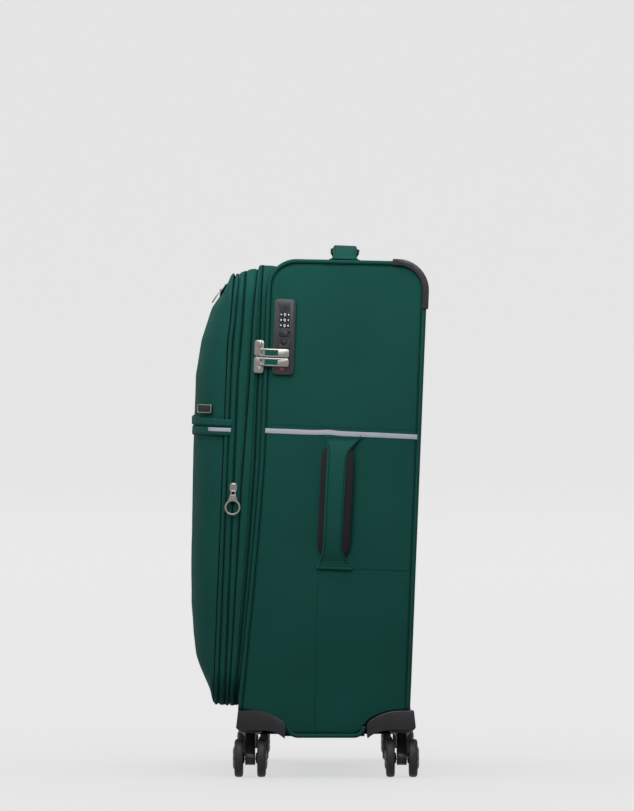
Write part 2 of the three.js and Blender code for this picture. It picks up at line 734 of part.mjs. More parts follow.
const TOP_ZIP = { x: 60, y: -160.3, z: 729, tilt: THREE.MathUtils.degToRad(59) };
const topZip = new THREE.Group();
topZip.position.set(TOP_ZIP.x, TOP_ZIP.y, TOP_ZIP.z);
topZip.rotation.x = TOP_ZIP.tilt;
body.add(topZip);
part(topZip, "top_pocket_slider", pocketSlider(), NICKEL());
const hanging = box(-PULLER.width / 2, PULLER.width / 2, -20, 0, 0, PULLER.thick);
const topPuller = part(topZip, "top_pocket_puller", hanging, NICKEL());
topPuller.position.set(0, -3.4, PULLER.lift);

const lowerZip = new THREE.Group();
lowerZip.position.set(-150, ZIP_WAY.y - GAP, ZIP_WAY.z);
lowerZip.rotation.x = Math.PI / 2;
body.add(lowerZip);
part(lowerZip, "lower_pocket_slider", pocketSlider(), NICKEL());
const tucked = box(0, 24, -PULLER.width / 2, PULLER.width / 2, 0, PULLER.thick);
const lowerPuller = part(lowerZip, "lower_pocket_puller", tucked, NICKEL());
lowerPuller.position.set(7, 0, PULLER.lift);

// ---------------------------------------------------------------- assembly: lock
part(body, "lock_plate", lockPlate(), GREY_PLASTIC());
DIAL_Z.forEach((z, i) => {
  const dial = rodZ(DIAL_R, z - 2.8, z + 2.8, DIAL_X, LOCK.y, 20);
  part(body, "lock_dial_" + (i + 1), dial, BLACK_PLASTIC());
});
part(
  body,
  "lock_button",
  box(240.4, LOCK.face + 2.2, LOCK.y - 7, LOCK.y + 5, 660, 667.5),
  GREY_PLASTIC(),
);
part(body, "key_cylinder", rodX(4.3, 232.5, LOCK.face + 1.6, LOCK.y, 651), NICKEL());

export default suitcase;
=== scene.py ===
import json
import math

import bmesh
import bpy
import numpy as np
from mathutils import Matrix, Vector


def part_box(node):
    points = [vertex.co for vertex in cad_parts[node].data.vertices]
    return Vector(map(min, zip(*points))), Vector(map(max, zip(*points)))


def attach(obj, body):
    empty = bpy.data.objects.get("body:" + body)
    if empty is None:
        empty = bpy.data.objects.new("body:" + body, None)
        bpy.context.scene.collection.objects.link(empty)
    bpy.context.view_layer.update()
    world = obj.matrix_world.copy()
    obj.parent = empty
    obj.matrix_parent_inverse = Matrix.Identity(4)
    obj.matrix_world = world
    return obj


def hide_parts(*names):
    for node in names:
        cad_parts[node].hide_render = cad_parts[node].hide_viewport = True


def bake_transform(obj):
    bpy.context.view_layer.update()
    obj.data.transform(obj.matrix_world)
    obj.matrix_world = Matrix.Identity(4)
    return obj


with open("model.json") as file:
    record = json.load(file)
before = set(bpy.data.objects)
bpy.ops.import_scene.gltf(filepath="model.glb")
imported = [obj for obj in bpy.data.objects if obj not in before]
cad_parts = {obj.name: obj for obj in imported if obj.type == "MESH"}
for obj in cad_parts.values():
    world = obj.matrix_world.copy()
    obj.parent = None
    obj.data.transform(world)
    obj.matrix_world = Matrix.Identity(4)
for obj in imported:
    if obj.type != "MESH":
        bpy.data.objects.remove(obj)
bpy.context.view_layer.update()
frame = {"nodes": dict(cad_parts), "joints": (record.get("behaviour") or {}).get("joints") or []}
NODES = frame["nodes"]

# ---------------------------------------------------------------- driving dimensions, mm
# Heights and depths are along the leaning case; plumb=True marks what stands plumb on the floor.
LID_AXIS = next(j["axis"] for j in frame["joints"] if j["name"] == "lid_swing")
LEAN_SIN = -LID_AXIS[1]
LEAN_COS = math.sqrt(1 - LEAN_SIN**2)
PIVOT_Z = 60

SIDE_X = 238
FRONT_Y = -91
BACK_Y = 149
TOP_Z = (777.3, 780.3)
BOTTOM_Z = (55.4, 65.8)
TOP_R = 44
FLARE = {"top": 480, "foot": 60, "reach": 21.8, "power": 1.31, "most": 0.87}

LID = {"half": 237, "low": 102, "high": 768, "corner": 55}
POCKET = {"half": 232, "low": 105, "high": 754, "corner": 52}
POCKET_Y = -146.8
POCKET_Z = (105, 123, 143, 163, 174, 204, 251, 314, 400, 507, 600, 654, 702, 723, 744, 754)
POCKET_REACH = (2, 7, 17, 27, 31.5, 36, 41.5, 45, 46.5, 48, 49, 42.5, 28.5, 14.5, 3, 0)
CHAIN_Y = -99
EXPANSION_Y = -129.5
BAND_TOP_Z = 539
BAND_DIP = 7
TOP_ZIP = {"y": -160.3, "z": 729, "tilt": 59}

CASTER_MID_Y = 24.5
WHEEL_R = 28.6
HOUSING_HALF_X = 242.5
HOUSING_HALF_Y = 135
HOUSING_GAP = 0.8
HOUSING_Z = 25  # height where the leaning case is compared with the plumb housings
HOUSING_LENGTH = 74
LOCK_Y = -62.5
DIAL_X = 234
DIAL_R = 9
DIAL_Z = (676.6, 684.8, 693)
STRIPE_Z = 518
SEAM_Z = 313
SEAM_FROM_Y = 4
FOOT_R = 15  # radius that the foot's edge turns up by, beside a wheel housing
CUP_HALF = 132.2
CUP_FRONT = 87.8
CUP_REAR = 142.2
STAGE_R = 26.0  # metres of flat floor around the suitcase
BAND_STITCH = (3.6, 2.4, 0.6, 0.3)  # pitch, length, width and height
POCKET_STITCH = (3.4, 2.3, 0.6, 0.3)
WEB_STITCH = (3.3, 2.3, 0.7, 0.4)

PIPE_R = 3.1
PIPE_IN = 3.1
PANEL_IN = 5.4
FABRIC = 1.1  # thickness of the laminated twill
INSIDE = (0, -60, 430)


# ---------------------------------------------------------------- places
def to_world(points):
    p = np.asarray(points, float)
    x, y, z = p[..., 0], p[..., 1], p[..., 2] - PIVOT_Z
    up = PIVOT_Z - y * LEAN_SIN + z * LEAN_COS
    return line(x, y * LEAN_COS + z * LEAN_SIN, up) / 1000


def lean_from_world(y, z):
    along = y * LEAN_COS - (z - PIVOT_Z) * LEAN_SIN
    return along, PIVOT_Z + y * LEAN_SIN + (z - PIVOT_Z) * LEAN_COS


def front_edge(z):
    share = (FLARE["top"] - np.asarray(z, float)) / (FLARE["top"] - FLARE["foot"])
    low = np.clip(share, 0, FLARE["most"])
    return FRONT_Y - FLARE["reach"] * low ** FLARE["power"]


def case_front(z):
    """Where the case's side outline meets height z in front, its top corner included."""
    centre = TOP_Z[0] - TOP_R
    rise = np.clip(np.asarray(z, float) - centre, 0, TOP_R - 1)
    return front_edge(z) + TOP_R - np.sqrt(TOP_R**2 - rise**2)


def seam_y(y, z):
    """The zip bands crowd together at the foot, and lie further back towards the top."""
    crowd = (EXPANSION_Y - front_edge(z)) / (EXPANSION_Y - FRONT_Y)
    crowded = np.where(y > EXPANSION_Y, EXPANSION_Y + (y - EXPANSION_Y) * crowd, y)
    fold = np.interp(z, (430, 592, 682, 768), (0, 5.5, 7, 11))
    chain = np.interp(z, (600, 682, 768), (0, 4, 5.5))
    share = np.clip((-103 - y) / 14, 0, 1)
    past = np.clip((-117 - y) / 12.5, 0, 1)
    ahead = np.clip((-129.5 - y) / 17, 0, 1)
    shift = share * ((1 - past) * fold + past * ((1 - ahead) * chain + ahead * front_shift(z)))
    return crowded + shift


def front_shift(z):
    return np.interp(z, (650, 682, 768), (0, 3, 7))


def ripple(a, b, size, reach):
    """A low uneven swell of cloth over two coordinates; size is its height, reach its length."""
    s = np.sin(a / reach + 1.7 * np.sin(b / reach / 1.9)) + np.sin(b / reach * 0.8 + 2.1)
    t = np.sin((a + 1.3 * b) / reach / 2.3 + 0.6) * np.cos((a - 0.6 * b) / reach / 1.7)
    return size * (0.3 * s + 0.5 * t)


# ---------------------------------------------------------------- mesh building
def facing_out(part, centre):
    """The part with its faces turned away from a point inside the suitcase."""
    points = np.asarray(part[0], float).reshape(-1, 3)
    corners_of = np.array([face[:3] for face in part[1]])
    a, b, c = (points[corners_of[:, k]] for k in range(3))
    away = (np.cross(b - a, c - a) * (a - np.asarray(centre))).sum()
    return points, part[1] if away > 0 else [face[::-1] for face in part[1]]


def piece(
    name, parts, paint, body, stands_for=(), plumb=False, thick=0, flat=False
):
    """One object from parts, each (points, faces), in millimetres, riding on a body."""
    if thick:
        parts = [facing_out(part, INSIDE) for part in parts]
    points, faces = joined(parts)
    mesh = bpy.data.meshes.new(name)
    mesh.from_pydata((points / 1000 if plumb else to_world(points)).tolist(), [], faces)
    if not thick:
        turned = bmesh.new()
        turned.from_mesh(mesh)
        bmesh.ops.recalc_face_normals(turned, faces=turned.faces)
        turned.to_mesh(mesh)
        turned.free()
    mesh.polygons.foreach_set("use_smooth", [not flat] * len(mesh.polygons))
    obj = bpy.data.objects.new(name, mesh)
    bpy.context.scene.collection.objects.link(obj)
    mesh.materials.append(paint)
    if thick:
        shell = obj.modifiers.new("thickness", "SOLIDIFY")
        shell.thickness = thick / 1000
        shell.offset = -1
        settle(obj)
    if body:
        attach(obj, body)
    if stands_for:
        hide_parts(*stands_for)
    return obj


def settle(obj):
    """Applies an object's modifiers."""
    bpy.context.view_layer.update()
    seen = obj.evaluated_get(bpy.context.evaluated_depsgraph_get())
    obj.data = bpy.data.meshes.new_from_object(seen)
    obj.modifiers.clear()


def joined(parts):
    points, faces, base = [], [], 0
    for p, f in parts:
        points.append(np.asarray(p, float).reshape(-1, 3))
        faces += [tuple(base + i for i in face) for face in f]
        base += len(points[-1])
    return np.concatenate(points), faces


def cloth(points, closed=False, keep=None):
    """Quads over a grid of points (rows, columns, 3); closed joins the last row to the first."""
    rows, columns = points.shape[:2]
    faces = []
    for i in range(rows if closed else rows - 1):
        j = (i + 1) % rows
        for k in range(columns - 1):
            if keep is None or keep[i, k]:
                a, b = i * columns + k, j * columns + k
                faces.append((a, a + 1, b + 1, b))
    return points.reshape(-1, 3), faces


def line(*coordinates):
    """Points from their coordinates, each a number or an array."""
    return np.stack(np.broadcast_arrays(*coordinates), -1)


def unit(v):
    return v / np.maximum(np.linalg.norm(v, axis=-1, keepdims=True), 1e-9)


def sweep(path, outward, section, closed=False, scale=None):
    """A section (a closed ring of (out, across) pairs) carried along a path."""
    path = np.asarray(path, float)
    section = np.asarray(section, float)
    if closed:
        along = unit(np.roll(path, -1, 0) - np.roll(path, 1, 0))
    else:
        along = unit(np.gradient(path, axis=0))
    outward = np.broadcast_to(np.asarray(outward, float), path.shape)
    outward = unit(outward - along * (outward * along).sum(-1, keepdims=True))
    across = np.cross(along, outward)
    size = np.ones(len(path)) if scale is None else np.asarray(scale, float)
    out = section[None, :, :1] * outward[:, None] + section[None, :, 1:] * across[:, None]
    rings = path[:, None] + out * size[:, None, None]
    n, m = rings.shape[:2]
    faces = []
    for i in range(n if closed else n - 1):
        j = (i + 1) % n
        for k in range(m):
            k1 = (k + 1) % m
            faces.append((i * m + k, i * m + k1, j * m + k1, j * m + k))
    if not closed:
        faces.append(tuple(range(m)))
        faces.append(tuple((n - 1) * m + k for k in reversed(range(m))))
    return rings.reshape(-1, 3), faces


def circle(r, sides):
    turn = np.arange(sides) * 2 * math.pi / sides
    return line(r * np.cos(turn), r * np.sin(turn))


def tape_ring(width, thick, r, steps):
    ring = []
    corners = ((thick - r, width / 2 - r, 0), (r, width / 2 - r, 90))
    corners += ((r, -width / 2 + r, 180), (thick - r, -width / 2 + r, 270))
    for out, across, start in corners:
        for i in range(steps + 1):
            a = math.radians(start + 90 * i / steps)
            ring.append((out + r * math.cos(a), across + r * math.sin(a)))
    return np.array(ring)


def spaced(path, outward, pitch):
    """Points, directions along and directions outward, at equal steps along a path."""
    path = np.asarray(path, float)
    run = np.concatenate([[0], np.cumsum(np.linalg.norm(np.diff(path, axis=0), axis=1))])
    at = np.arange(pitch / 2, run[-1], pitch)
    points = np.stack([np.interp(at, run, path[:, i]) for i in range(3)], -1)
    ahead = np.stack([np.interp(at + 0.5, run, path[:, i]) for i in range(3)], -1)
    back = np.stack([np.interp(at - 0.5, run, path[:, i]) for i in range(3)], -1)
    outward = np.asarray(outward, float)
    if outward.ndim == 2:
        outward = outward[(at / run[-1] * (len(outward) - 1)).round().astype(int)]
    return points, unit(ahead - back), np.broadcast_to(outward, points.shape)


def beads(points, along, outward, length, width, height):
    """A small rounded grain at each point, lying along its direction."""
    outward = unit(outward - along * (outward * along).sum(-1, keepdims=True))
    across = np.cross(along, outward)
    stations = ((-0.5, 0.35), (-0.3, 1), (0.3, 1), (0.5, 0.35))
    ring = [(0, -0.5), (0.75, -0.35), (1, 0), (0.75, 0.35), (0, 0.5)]
    grains = []
    for s, grow in stations:
        for out, side in ring:
            offset = along * (s * length) + outward * (out * height * grow)
            grains.append(points + offset + across * (side * width * grow))
    grains = np.stack(grains, 1)
    faces = []
    for g in range(len(points)):
        base = g * 20
        for i in range(3):
            for k in range(4):
                a = base + i * 5 + k
                faces.append((a, a + 1, a + 6, a + 5))
        faces.append(tuple(base + k for k in range(5)))
        faces.append(tuple(base + 19 - k for k in range(5)))
    return grains.reshape(-1, 3), faces


def stitches(path, outward, pitch=3.4, length=2.4, width=0.75, height=0.4):
    points, along, outward = spaced(path, outward, pitch)
    return beads(points, along, outward, length, width, height)


def zip_teeth(path, outward, pitch=1.9, width=4.6):
    """Coil teeth lying across the chain, the two sides' turns by turns."""
    points, along, outward = spaced(path, outward, pitch)
    across = unit(np.cross(along, outward))
    shift = np.where(np.arange(len(points)) % 2, 0.5, -0.5)[:, None]
    return beads(points + across * shift, across, outward, width, 1.3, 1.1)


def smooth_curve(knots, steps=6):
    """A Catmull-Rom curve through knots, as (N, dims)."""
    k = np.asarray(knots, float)
    k = np.concatenate([[2 * k[0] - k[1]], k, [2 * k[-1] - k[-2]]])
    out = []
    for i in range(1, len(k) - 2):
        for t in np.arange(steps) / steps:
            a, b, c, d = k[i - 1], k[i], k[i + 1], k[i + 2]
            mid = (c - a) * t + (2 * a - 5 * b + 4 * c - d) * t**2 + (3 * b - a - 3 * c + d) * t**3
            out.append(b + mid / 2)
    out.append(k[-2])
    return np.array(out)


# ---------------------------------------------------------------- materials
def new_material(name, color, roughness, metallic=0.0):
    made = bpy.data.materials.new(name)
    made.use_nodes = True
    made.diffuse_color = (*color, 1)
    shader = made.node_tree.nodes["Principled BSDF"]
    shader.inputs["Base Color"].default_value = (*color, 1)
    shader.inputs["Roughness"].default_value = roughness
    shader.inputs["Metallic"].default_value = metallic
    return made


def node(tree, kind, **inputs):
    made = tree.nodes.new(kind)
    for key, value in inputs.items():
        made.inputs[key.replace("_", " ")].default_value = value
    return made


def maths(tree, operation, a, b=None):
    made = tree.nodes.new("ShaderNodeMath")
    made.operation = operation
    for slot, value in enumerate((a, b)):
        if value is None:
            continue
        if isinstance(value, (int, float)):
            made.inputs[slot].default_value = value
        else:
            tree.links.new(value, made.inputs[slot])
    return made.outputs[0]


def mottle(made, color, spread, scale, fine=None):
    """Uneven colour: darker and lighter patches of a noise, and a finer field if given."""
    tree = made.node_tree
    place = tree.nodes.new("ShaderNodeTexCoord").outputs["Object"]
    noise = node(tree, "ShaderNodeTexNoise", Scale=scale, Detail=4.0)
    tree.links.new(place, noise.inputs["Vector"])
    field = noise.outputs["Fac"]
    if fine is not None:
        field = maths(tree, "ADD", maths(tree, "MULTIPLY", field, 0.6), fine)
    ramp = tree.nodes.new("ShaderNodeValToRGB")
    low, high = ramp.color_ramp.elements
    low.position, high.position = 0.3, 0.7
    low.color = (*[c * (1 - spread) for c in color], 1)
    high.color = (*[min(1, c * (1 + spread)) for c in color], 1)
    tree.links.new(field, ramp.inputs["Fac"])
    tree.links.new(ramp.outputs["Color"], tree.nodes["Principled BSDF"].inputs["Base Color"])
    return place


def worn_roughness(made, place, low, high, scale):
    tree = made.node_tree
    noise = node(tree, "ShaderNodeTexNoise", Scale=scale, Detail=3.0)
    tree.links.new(place, noise.inputs["Vector"])
    spread = tree.nodes.new("ShaderNodeMapRange")
    spread.inputs["To Min"].default_value = low
    spread.inputs["To Max"].default_value = high
    tree.links.new(noise.outputs["Fac"], spread.inputs["Value"])
    tree.links.new(spread.outputs["Result"], tree.nodes["Principled BSDF"].inputs["Roughness"])


def bump(made, height, strength, depth_mm):
    tree = made.node_tree
    lift = tree.nodes.new("ShaderNodeBump")
    lift.inputs["Strength"].default_value = strength
    lift.inputs["Distance"].default_value = depth_mm / 1000
    tree.links.new(height, lift.inputs["Height"])
    tree.links.new(lift.outputs["Normal"], tree.nodes["Principled BSDF"].inputs["Normal"])


def thread_field(tree, place, pitch_mm, slant):
    """Crossing threads: a field from -1 to 1 that any plane through the object cuts as a weave."""
    split = tree.nodes.new("ShaderNodeSeparateXYZ")
    tree.links.new(place, split.inputs[0])
    x, y, z = split.outputs
    turn = 2 * math.pi / (pitch_mm / 1000)
    warp = maths(tree, "ADD", maths(tree, "ADD", x, y), maths(tree, "MULTIPLY", z, slant))
    skew = maths(tree, "MULTIPLY", maths(tree, "SUBTRACT", x, y), 0.45)
    weft = maths(tree, "ADD", z, skew)
    one = maths(tree, "SINE", maths(tree, "MULTIPLY", warp, turn))
    two = maths(tree, "SINE", maths(tree, "MULTIPLY", weft, turn))
    return maths(tree, "MULTIPLY", one, two)


def woven(name, color, pitch_mm, depth_mm, spread=0.1, sheen=0.06, rough=(0.66, 0.82)):
    made = new_material(name, color, 0.75)
    tree = made.node_tree
    place = tree.nodes.new("ShaderNodeTexCoord").outputs["Object"]
    threads = thread_field(tree, place, pitch_mm, 0.35)
    fine = maths(tree, "ADD", maths(tree, "MULTIPLY", threads, 0.1), 0.2)
    mottle(made, color, spread, 9.0, fine)
    worn_roughness(made, place, rough[0], rough[1], 35.0)
    bump(made, threads, 0.55, depth_mm)
    shader = tree.nodes["Principled BSDF"]
    shader.inputs["Sheen Weight"].default_value = sheen * 0.5
    shader.inputs["Sheen Roughness"].default_value = 0.45
    shader.inputs["Sheen Tint"].default_value = (0.35, 0.9, 0.8, 1)
    shader.inputs["Specular IOR Level"].default_value = 0.05
    return made


def moulded(name, color, rough, grain_mm=0.8, depth_mm=0.05, spread=0.12):
    made = new_material(name, color, rough)
    place = mottle(made, color, spread, 30.0)
    worn_roughness(made, place, rough * 0.85, min(1, rough * 1.2), 60.0)
    grain = node(made.node_tree, "ShaderNodeTexNoise", Scale=1000 / grain_mm, Detail=2.0)
    made.node_tree.links.new(place, grain.inputs["Vector"])
    bump(made, grain.outputs["Fac"], 0.5, depth_mm)
    made.node_tree.nodes["Principled BSDF"].inputs["Specular IOR Level"].default_value = 0.3
    return made


def brushed(name, color, rough, spread=0.06):
    """Metal with fine lines drawn across one direction."""
    made = new_material(name, color, rough, 1.0)
    place = mottle(made, color, spread, 45.0)
    tree = made.node_tree
    worn_roughness(made, place, rough * 0.85, rough * 1.2, 60.0)
    stretch = tree.nodes.new("ShaderNodeMapping")
    stretch.inputs["Scale"].default_value = (900, 900, 60)
    tree.links.new(place, stretch.inputs["Vector"])
    lines = node(tree, "ShaderNodeTexNoise", Scale=1.0, Detail=2.0)
    tree.links.new(stretch.outputs[0], lines.inputs["Vector"])
    bump(made, lines.outputs["Fac"], 0.06, 0.004)
    return made


GREEN = (0.0062, 0.0560, 0.0450)
TWILL = woven("green_twill", GREEN, 1.15, 0.12)
PIPING = woven("green_piping", (0.0063, 0.054, 0.0435), 0.9, 0.09)
TAPE = woven("green_zip_tape", (0.0058, 0.049, 0.040), 0.8, 0.08, sheen=0.05)
THREAD = woven("green_thread", (0.0025, 0.024, 0.0195), 0.5, 0.04, sheen=0.02)
DARK_THREAD = woven("dark_thread", (0.0012, 0.0105, 0.0085), 0.5, 0.04, sheen=0.01)
STRAP = woven("green_strap", (0.0075, 0.062, 0.051), 1.0, 0.12)
STRIPE = woven("grey_stripe", (0.33, 0.35, 0.39), 0.7, 0.05, 0.05, 0.1, (0.4, 0.55))
# painted shade: a near-black green for thin cords laid in seam grooves, standing in for the shade
# there
SHADOW_TAPE = woven("painted_groove_shade", (0.0012, 0.009, 0.0075), 0.8, 0.05, sheen=0.01)
WEBBING = woven("black_webbing", (0.017, 0.016, 0.019), 1.3, 0.16, sheen=0.08)
LINING = woven("grey_lining", (0.05, 0.055, 0.056), 0.8, 0.06, sheen=0.2)
MESH_LINING = woven("mesh_pocket", (0.018, 0.02, 0.021), 2.2, 0.3, 0.3, 0.1)
HOUSING = moulded("housing_plastic", (0.0105, 0.0100, 0.0125), 0.4)
GUARD = moulded("guard_plastic", (0.019, 0.018, 0.022), 0.27, 0.8, 0.02)
TRIM = moulded("trolley_plastic", (0.022, 0.022, 0.025), 0.4)
BUTTON = moulded("button_plastic", (0.012, 0.0125, 0.014), 0.3, 0.6, 0.01)
LOCK_GREY = moulded("lock_plastic", (0.021, 0.023, 0.026), 0.36, 0.6, 0.006, 0.05)
DIAL_BLACK = moulded("dial_plastic", (0.003, 0.003, 0.0035), 0.4, 0.6, 0.01, 0.05)
TYRE = moulded("wheel_tyre", (0.016, 0.016, 0.018), 0.6, 0.9, 0.08)
HUB = moulded("wheel_hub", (0.020, 0.020, 0.023), 0.36, 0.8, 0.04)
PRINT = moulded("white_print", (0.75, 0.76, 0.76), 0.5, 0.5, 0.01, 0.05)
RED_DOT = moulded("red_enamel", (0.42, 0.02, 0.035), 0.35, 0.5, 0.01, 0.15)
NICKEL = brushed("satin_nickel", (0.25, 0.24, 0.225), 0.27, 0.03)
ALUMINIUM = brushed("anodised_aluminium", (0.55, 0.56, 0.57), 0.3)
STEEL = brushed("axle_steel", (0.5, 0.5, 0.52), 0.3)


# ---------------------------------------------------------------- refined hard parts
def refined(name, paint, body, width=0.5, dissolve=True):
    """A CAD node's shape with rounded edges and smooth turned faces."""
    source = NODES[name]
    mesh = source.data.copy()
    bm = bmesh.new()
    bm.from_mesh(mesh)
    bmesh.ops.remove_doubles(bm, verts=bm.verts, dist=1e-6)
    if dissolve:
        limit = math.radians(0.6)
        bmesh.ops.dissolve_limit(bm, angle_limit=limit, verts=bm.verts, edges=bm.edges)
    bm.to_mesh(mesh)
    bm.free()
    obj = bpy.data.objects.new("look_" + name, mesh)
    bpy.context.scene.collection.objects.link(obj)
    mesh.materials.clear()
    mesh.materials.append(paint)
    mesh.polygons.foreach_set("use_smooth", [True] * len(mesh.polygons))
    edge = obj.modifiers.new("edges", "BEVEL")
    edge.width = width / 1000
    edge.segments = 2
    edge.limit_method = "ANGLE"
    edge.angle_limit = math.radians(32)
    edge.harden_normals = True
    settle(obj)
    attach(obj, body)
    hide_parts(name)
    return obj


# ---------------------------------------------------------------- case outline
def bottom_line(y):
    return BOTTOM_Z[0] + (BOTTOM_Z[1] - BOTTOM_Z[0]) * (y + 110) / (BACK_Y + 110)


def top_line(y):
    share = (y - FRONT_Y - TOP_R) / (BACK_Y - FRONT_Y - 2 * TOP_R)
    return TOP_Z[0] + (TOP_Z[1] - TOP_Z[0]) * share


def arc(y, z, r, turns, count):
    """Points round (y, z) at radius r, between two angles given in half turns."""
    turn = np.linspace(turns[0] * math.pi, turns[1] * math.pi, count)
    return line(y + r * np.cos(turn), z + r * np.sin(turn))


def inward_of(outline):
    """Directions across a (y, z) outline, towards the inside of the case."""
    along = unit(np.gradient(outline, axis=0))
    return line(-along[:, 1], along[:, 0])


def housing_profile():
    """How far in from its outer end a wheel housing reaches, and its height there, plumb."""
    t = np.linspace(0, 1, 9)[:, None]

    def bend(a, b, c):
        return a * (1 - t) ** 2 + 2 * b * t * (1 - t) + c * t**2

    hump = bend(np.array([24, 101]), np.array([46, 101]), np.array([65, 89]))
    end = bend(np.array([65, 89]), np.array([74, 85]), np.array([74.01, 77]))
    return np.concatenate([[[0, 101]], hump, end])


HOUSING_LINE = housing_profile()


def above_housing(y):
    """Lowest height that clears the wheel housings at depth y, in the case's heights."""
    plumb_y = y * LEAN_COS + HOUSING_Z * LEAN_SIN
    inward = HOUSING_HALF_Y - np.abs(plumb_y - CASTER_MID_Y)
    rise = np.interp(inward, HOUSING_LINE[:, 0], HOUSING_LINE[:, 1])
    _, local = lean_from_world(plumb_y, rise + HOUSING_GAP)
    return np.where(inward < HOUSING_LENGTH + HOUSING_GAP, local, -1e3)


def corner_steps(start, end, r):
    """Positions from start to end, crowded towards both ends as on a quarter circle."""
    turn = np.linspace(0, math.pi / 2, 13)
    near = start + r * (1 - np.cos(turn))
    count = int((end - start - 2 * r) / 3.2)
    middle = np.linspace(start + r, end - r, count)[1:-1]
    return np.concatenate([near, middle, (end - r * (1 - np.cos(turn)))[::-1]])


def foot_ends():
    """Depths where the foot's cloth meets the two wheel housings' inner ends."""
    half = HOUSING_HALF_Y - HOUSING_LENGTH - HOUSING_GAP
    return (CASTER_MID_Y + half * np.array([-1, 1]) - HOUSING_Z * LEAN_SIN) / LEAN_COS


def panel_relief(y, z, edge):
    """How far the side panel's cloth lies in from its plane."""
    dip = 1.7 * np.exp(-((edge / 2.4) ** 2))
    across = 0.8 * np.exp(-(((z - SEAM_Z) / 1.3) ** 2)) / (1 + np.exp(-(y - SEAM_FROM_Y) / 1.5))
    puff = 0.35 * np.exp(-(((z - SEAM_Z + 7) / 6) ** 2)) * (y > SEAM_FROM_Y)
    line = -0.7 + 5.1 * (SEAM_Z + 5 - z) / 259
    down = 0.7 * np.exp(-(((y - line) / 1.2) ** 2)) / (1 + np.exp((z - SEAM_Z - 4) / 2))
    bulge = 0.5 - 0.5 * np.clip(edge / 30, 0, 1)
    low = np.clip((330 - z) / 270, 0, 1)
    swell = ripple(y, z, 0.22 + 0.28 * low, 21) + ripple(z, y, 0.12, 9)
    return dip + across - puff + down + bulge + swell + 0.3


def foot_line(y, inset):
    """Height of the foot's edge between the wheel housings, rounded up at its two ends."""
    first, last = foot_ends()
    r = FOOT_R - (inset - PIPE_IN)
    near = np.minimum(y - first - inset + PIPE_IN, last - inset + PIPE_IN - y)
    past = np.clip(r - near, 0, r)
    return bottom_line(y) + inset + r - np.sqrt(np.maximum(r**2 - past**2, 0))


def side_grid(inset):
    """Depth and height of points over the side panel, and their distance from its edge."""
    front, rear = FRONT_Y + inset, BACK_Y - inset
    r = TOP_R - inset
    columns = corner_steps(front, rear, r)
    ends = foot_ends()
    steps = (-0.6, -0.1, 0.1, 0.6)
    columns = np.sort(np.concatenate([columns, *[ends + step for step in steps]]))
    drop = np.where(columns < front + r, front + r - columns, 0)
    drop = np.where(columns > rear - r, columns - rear + r, drop)
    high = top_line(columns) - inset - r + np.sqrt(np.maximum(r**2 - drop**2, 0))
    foot = foot_line(columns, inset)
    low = np.maximum(foot, above_housing(columns))
    rows = np.concatenate([[0, 0.004, 0.01], np.linspace(0.02, 0.97, 216), [0.98, 0.99, 0.996, 1]])
    z = low[None] + (high - low)[None] * rows[:, None]
    share = (columns - front) / (rear - front)
    y = columns[None] + (front_edge(z) - FRONT_Y) * (1 - share[None]) ** 1.4
    edge = np.minimum(columns - front, rear - columns)[None] * np.ones_like(z)
    edge = np.minimum(edge, (high[None] - z) * np.where(drop > 0, 0.75, 1)[None])
    on_foot = foot > above_housing(columns)
    edge = np.where(on_foot[None], np.minimum(edge, z - low[None]), edge)
    return y, z, edge


def side_panel(side):
    y, z, edge = side_grid(PANEL_IN)
    x = side * (SIDE_X - panel_relief(y, z, edge))
    return cloth(line(x, y, z))


def front_outline(inset):
    """The side outline from the front housing up, over the top and down to the rear housing."""
    r = TOP_R - inset
    start, stop = above_housing(np.array([-104.0, 146.0]))
    z = np.linspace(start, TOP_Z[0] - TOP_R, 90)
    rise = line(front_edge(z) + inset, z)
    brow = arc(FRONT_Y + TOP_R, TOP_Z[0] - TOP_R, r, (1, 0.5), 18)[1:]
    rear = arc(BACK_Y - TOP_R, TOP_Z[1] - TOP_R, r, (0.5, 0), 18)
    over = np.linspace(brow[-1], rear[0], 40)[1:-1]
    down = line(BACK_Y - inset, np.linspace(rear[-1][1], stop, 100)[1:])
    return np.concatenate([rise, brow, over, rear, down])


def foot_outline(inset):
    """The side outline along the bottom, turned up beside the wheel housings."""
    first, last = foot_ends() + np.array([1, -1]) * inset
    y = np.linspace(first + FOOT_R, last - FOOT_R, 50)
    z = bottom_line(y) + inset
    left = arc(y[0], z[0] + FOOT_R, FOOT_R, (1, 1.5), 9)[:-1]
    right = arc(y[-1], z[-1] + FOOT_R, FOOT_R, (0, -0.5), 9)[:-1]
    return np.concatenate([left, line(y, z), right[::-1]])


def on_side(side, outline, proud=0.0):
    return line(side * (SIDE_X + proud), *outline.T)


def piping(side):
    """Round welt along a side panel's edge, with a near-black cord of painted shade laid in the
    groove it is sewn into.
    """
    runs, shade_cords = [], []
    for outline in (front_outline(PIPE_IN), foot_outline(PIPE_IN)):
        path = on_side(side, outline, -1.0)
        path[:, 0] += side * 0.25 * np.sin(np.arange(len(path)) / 3.1)
        runs.append(sweep(path, (side, 0, 0), circle(PIPE_R, 12)))
    # thin dark cords sunk beside the welt: painted shade in the seam's groove
    for outline in (front_outline(PANEL_IN + 0.9), foot_outline(PANEL_IN + 0.9)):
        shade_cords.append(sweep(on_side(side, outline, -1.9), (side, 0, 0), circle(0.9, 8)))
    return runs, shade_cords


